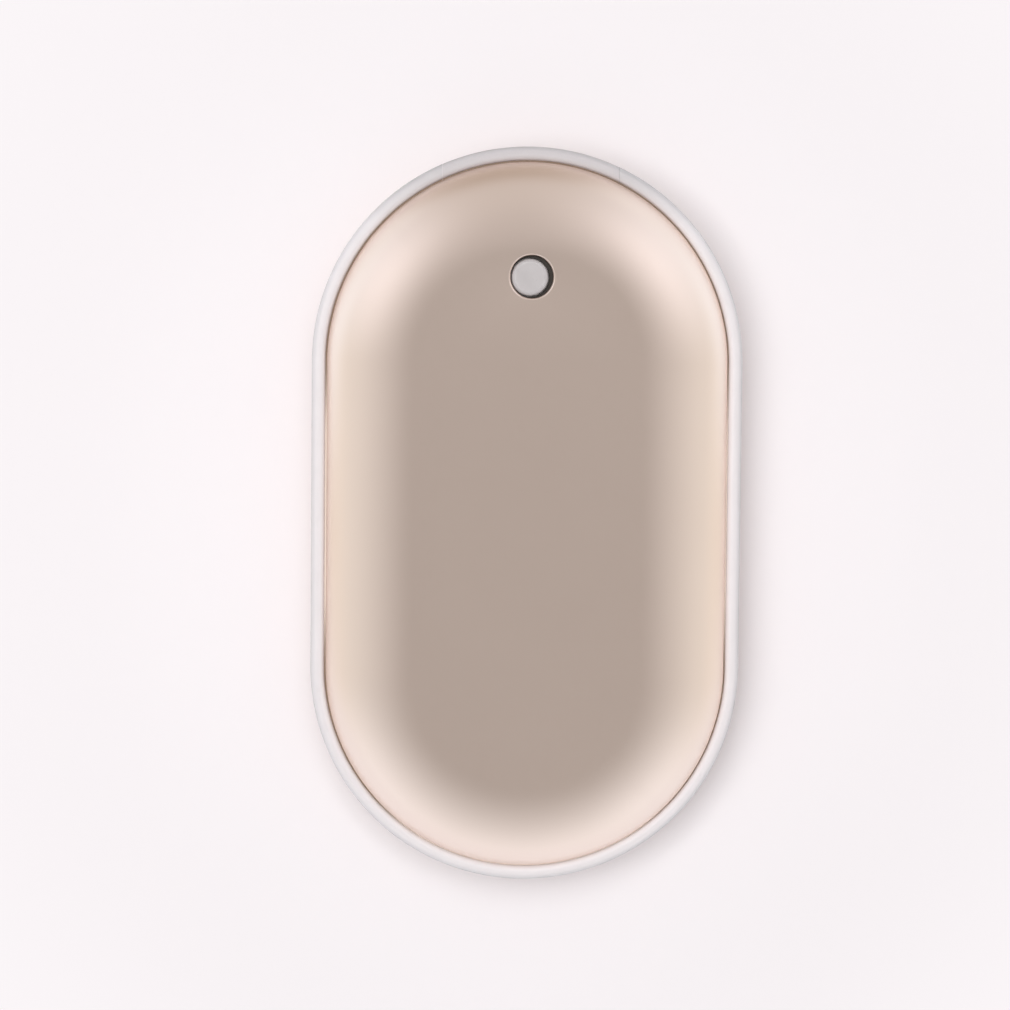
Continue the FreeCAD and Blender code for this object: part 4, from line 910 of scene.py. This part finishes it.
lit = add(tree, "ShaderNodeMapRange", {"interpolation_type": "SMOOTHSTEP"},
          {"Value": away.outputs["Value"], "From Min": MIRRORED_REACH[0], "From Max": MIRRORED_REACH[1]})
glowing = reckon(tree, "MULTIPLY", mirrored, lit)
mixed = add(tree, "ShaderNodeMixShader", {}, {0: glowing, 1: shown, 2: seen})
add(tree, "ShaderNodeOutputMaterial", {}, {"Surface": mixed})
floor_mesh.materials.append(paper)

# The studio round it, which is only mirrored and lights nothing else. The dimmest patch of its ceiling lies a
# little towards the near end. Its walls are brightest at the two far corners, less so down at the skirting,
# and dim behind the button end. The camera sees only more paper there.
CEILING_LIGHT = (0.352, 0.341, 0.33)
CEILING_TILT = radians(10)
CEILING_EDGE = (radians(10), radians(68))
SKIRTING_EDGE = (radians(58), radians(76))
WALL_STOPS = ((0.0, (0.96, 1.02, 1.08)), (0.15, (1.1, 1.18, 1.27)), (0.45, (0.77, 0.79, 0.76)),
              (0.8, (1.58, 1.66, 1.8)), (1.0, (0.63, 0.63, 0.63)))
SKIRTING_STOPS = ((0.0, (1.05, 1.11, 1.18)), (0.15, (1.1, 1.18, 1.27)), (0.45, (0.84, 0.86, 0.83)),
                  (0.8, (1.1, 1.18, 1.3)), (1.0, (0.66, 0.66, 0.66)))
world = bpy.data.worlds.new("studio")
world.use_nodes = True
world.node_tree.nodes.clear()
tree = world.node_tree
toward = add(tree, "ShaderNodeTexCoord").outputs["Generated"]
rise = add(tree, "ShaderNodeVectorMath", {"operation": "DOT_PRODUCT"},
           {0: toward, 1: (0, -sin(CEILING_TILT), cos(CEILING_TILT))})
slant = reckon(tree, "ARCCOSINE", rise.outputs["Value"])
down = add(tree, "ShaderNodeMapRange", {},
           {"Value": slant, "From Min": CEILING_EDGE[0], "From Max": CEILING_EDGE[1]})
low = add(tree, "ShaderNodeMapRange", {},
          {"Value": slant, "From Min": SKIRTING_EDGE[0], "From Max": SKIRTING_EDGE[1]})
walls = blend(tree, low, round_about(tree, toward, WALL_STOPS), round_about(tree, toward, SKIRTING_STOPS))
glow = blend(tree, down, (*CEILING_LIGHT, 1), walls)
ray = add(tree, "ShaderNodeLightPath")
behind = blend(tree, ray.outputs["Is Camera Ray"], glow, PAPER_COLOUR)
sky = add(tree, "ShaderNodeBackground", {}, {"Color": behind, "Strength": 1.0})
add(tree, "ShaderNodeOutputWorld", {}, {"Surface": sky})
bpy.context.scene.world = world
world.cycles_visibility.diffuse = False

LAMP_AIM = Vector((0, 0, 12 * MM))


def soft_box(name, place, size, power):
    """A soft box aimed at the object and kept out of the metal's mirror, as a polarised lamp is."""
    lamp = bpy.data.lights.new(name, "AREA")
    lamp.shape = "RECTANGLE"
    lamp.size, lamp.size_y = size
    lamp.energy = power
    stand = in_scene(name, lamp)
    stand.location = place
    stand.rotation_euler = (LAMP_AIM - Vector(place)).to_track_quat("-Z", "Y").to_euler()
    stand.visible_glossy = False


soft_box("key_box", (-0.2, 0.2, 1.5), (0.9, 0.63), 15.8)
soft_box("fill_box", (0, 0, 0.8), (2.0, 2.0), 6.4)

# The camera: straight above, a little towards the button end, and far enough off to keep the sides nearly
# parallel. Its focal length is given in pixels of a picture as wide as PHOTO_SIDE.
CAMERA_PLACE = Vector((-0.0122, 0.0291, 0.4354))
CAMERA_AIM = Vector((-0.00289, 0.00145, 0.01675))
CAMERA_ROLL = -0.009
PHOTO_FOCAL = 3086
PHOTO_SIDE = 1010
SENSOR_WIDTH = 36.0
camera = bpy.data.cameras.new("camera")
camera.sensor_fit = "HORIZONTAL"
camera.sensor_width = SENSOR_WIDTH
camera.lens = SENSOR_WIDTH * PHOTO_FOCAL / PHOTO_SIDE
camera.clip_start = 0.01
ahead = (CAMERA_AIM - CAMERA_PLACE).normalized()
across = ahead.cross(Vector((sin(CAMERA_ROLL), cos(CAMERA_ROLL), 0))).normalized()
above = across.cross(ahead)
viewer = in_scene("camera", camera)
viewer.matrix_world = Matrix.Translation(CAMERA_PLACE) @ Matrix((across, above, -ahead)).transposed().to_4x4()
bpy.context.scene.camera = viewer
bpy.context.scene.view_settings.view_transform = "Standard"
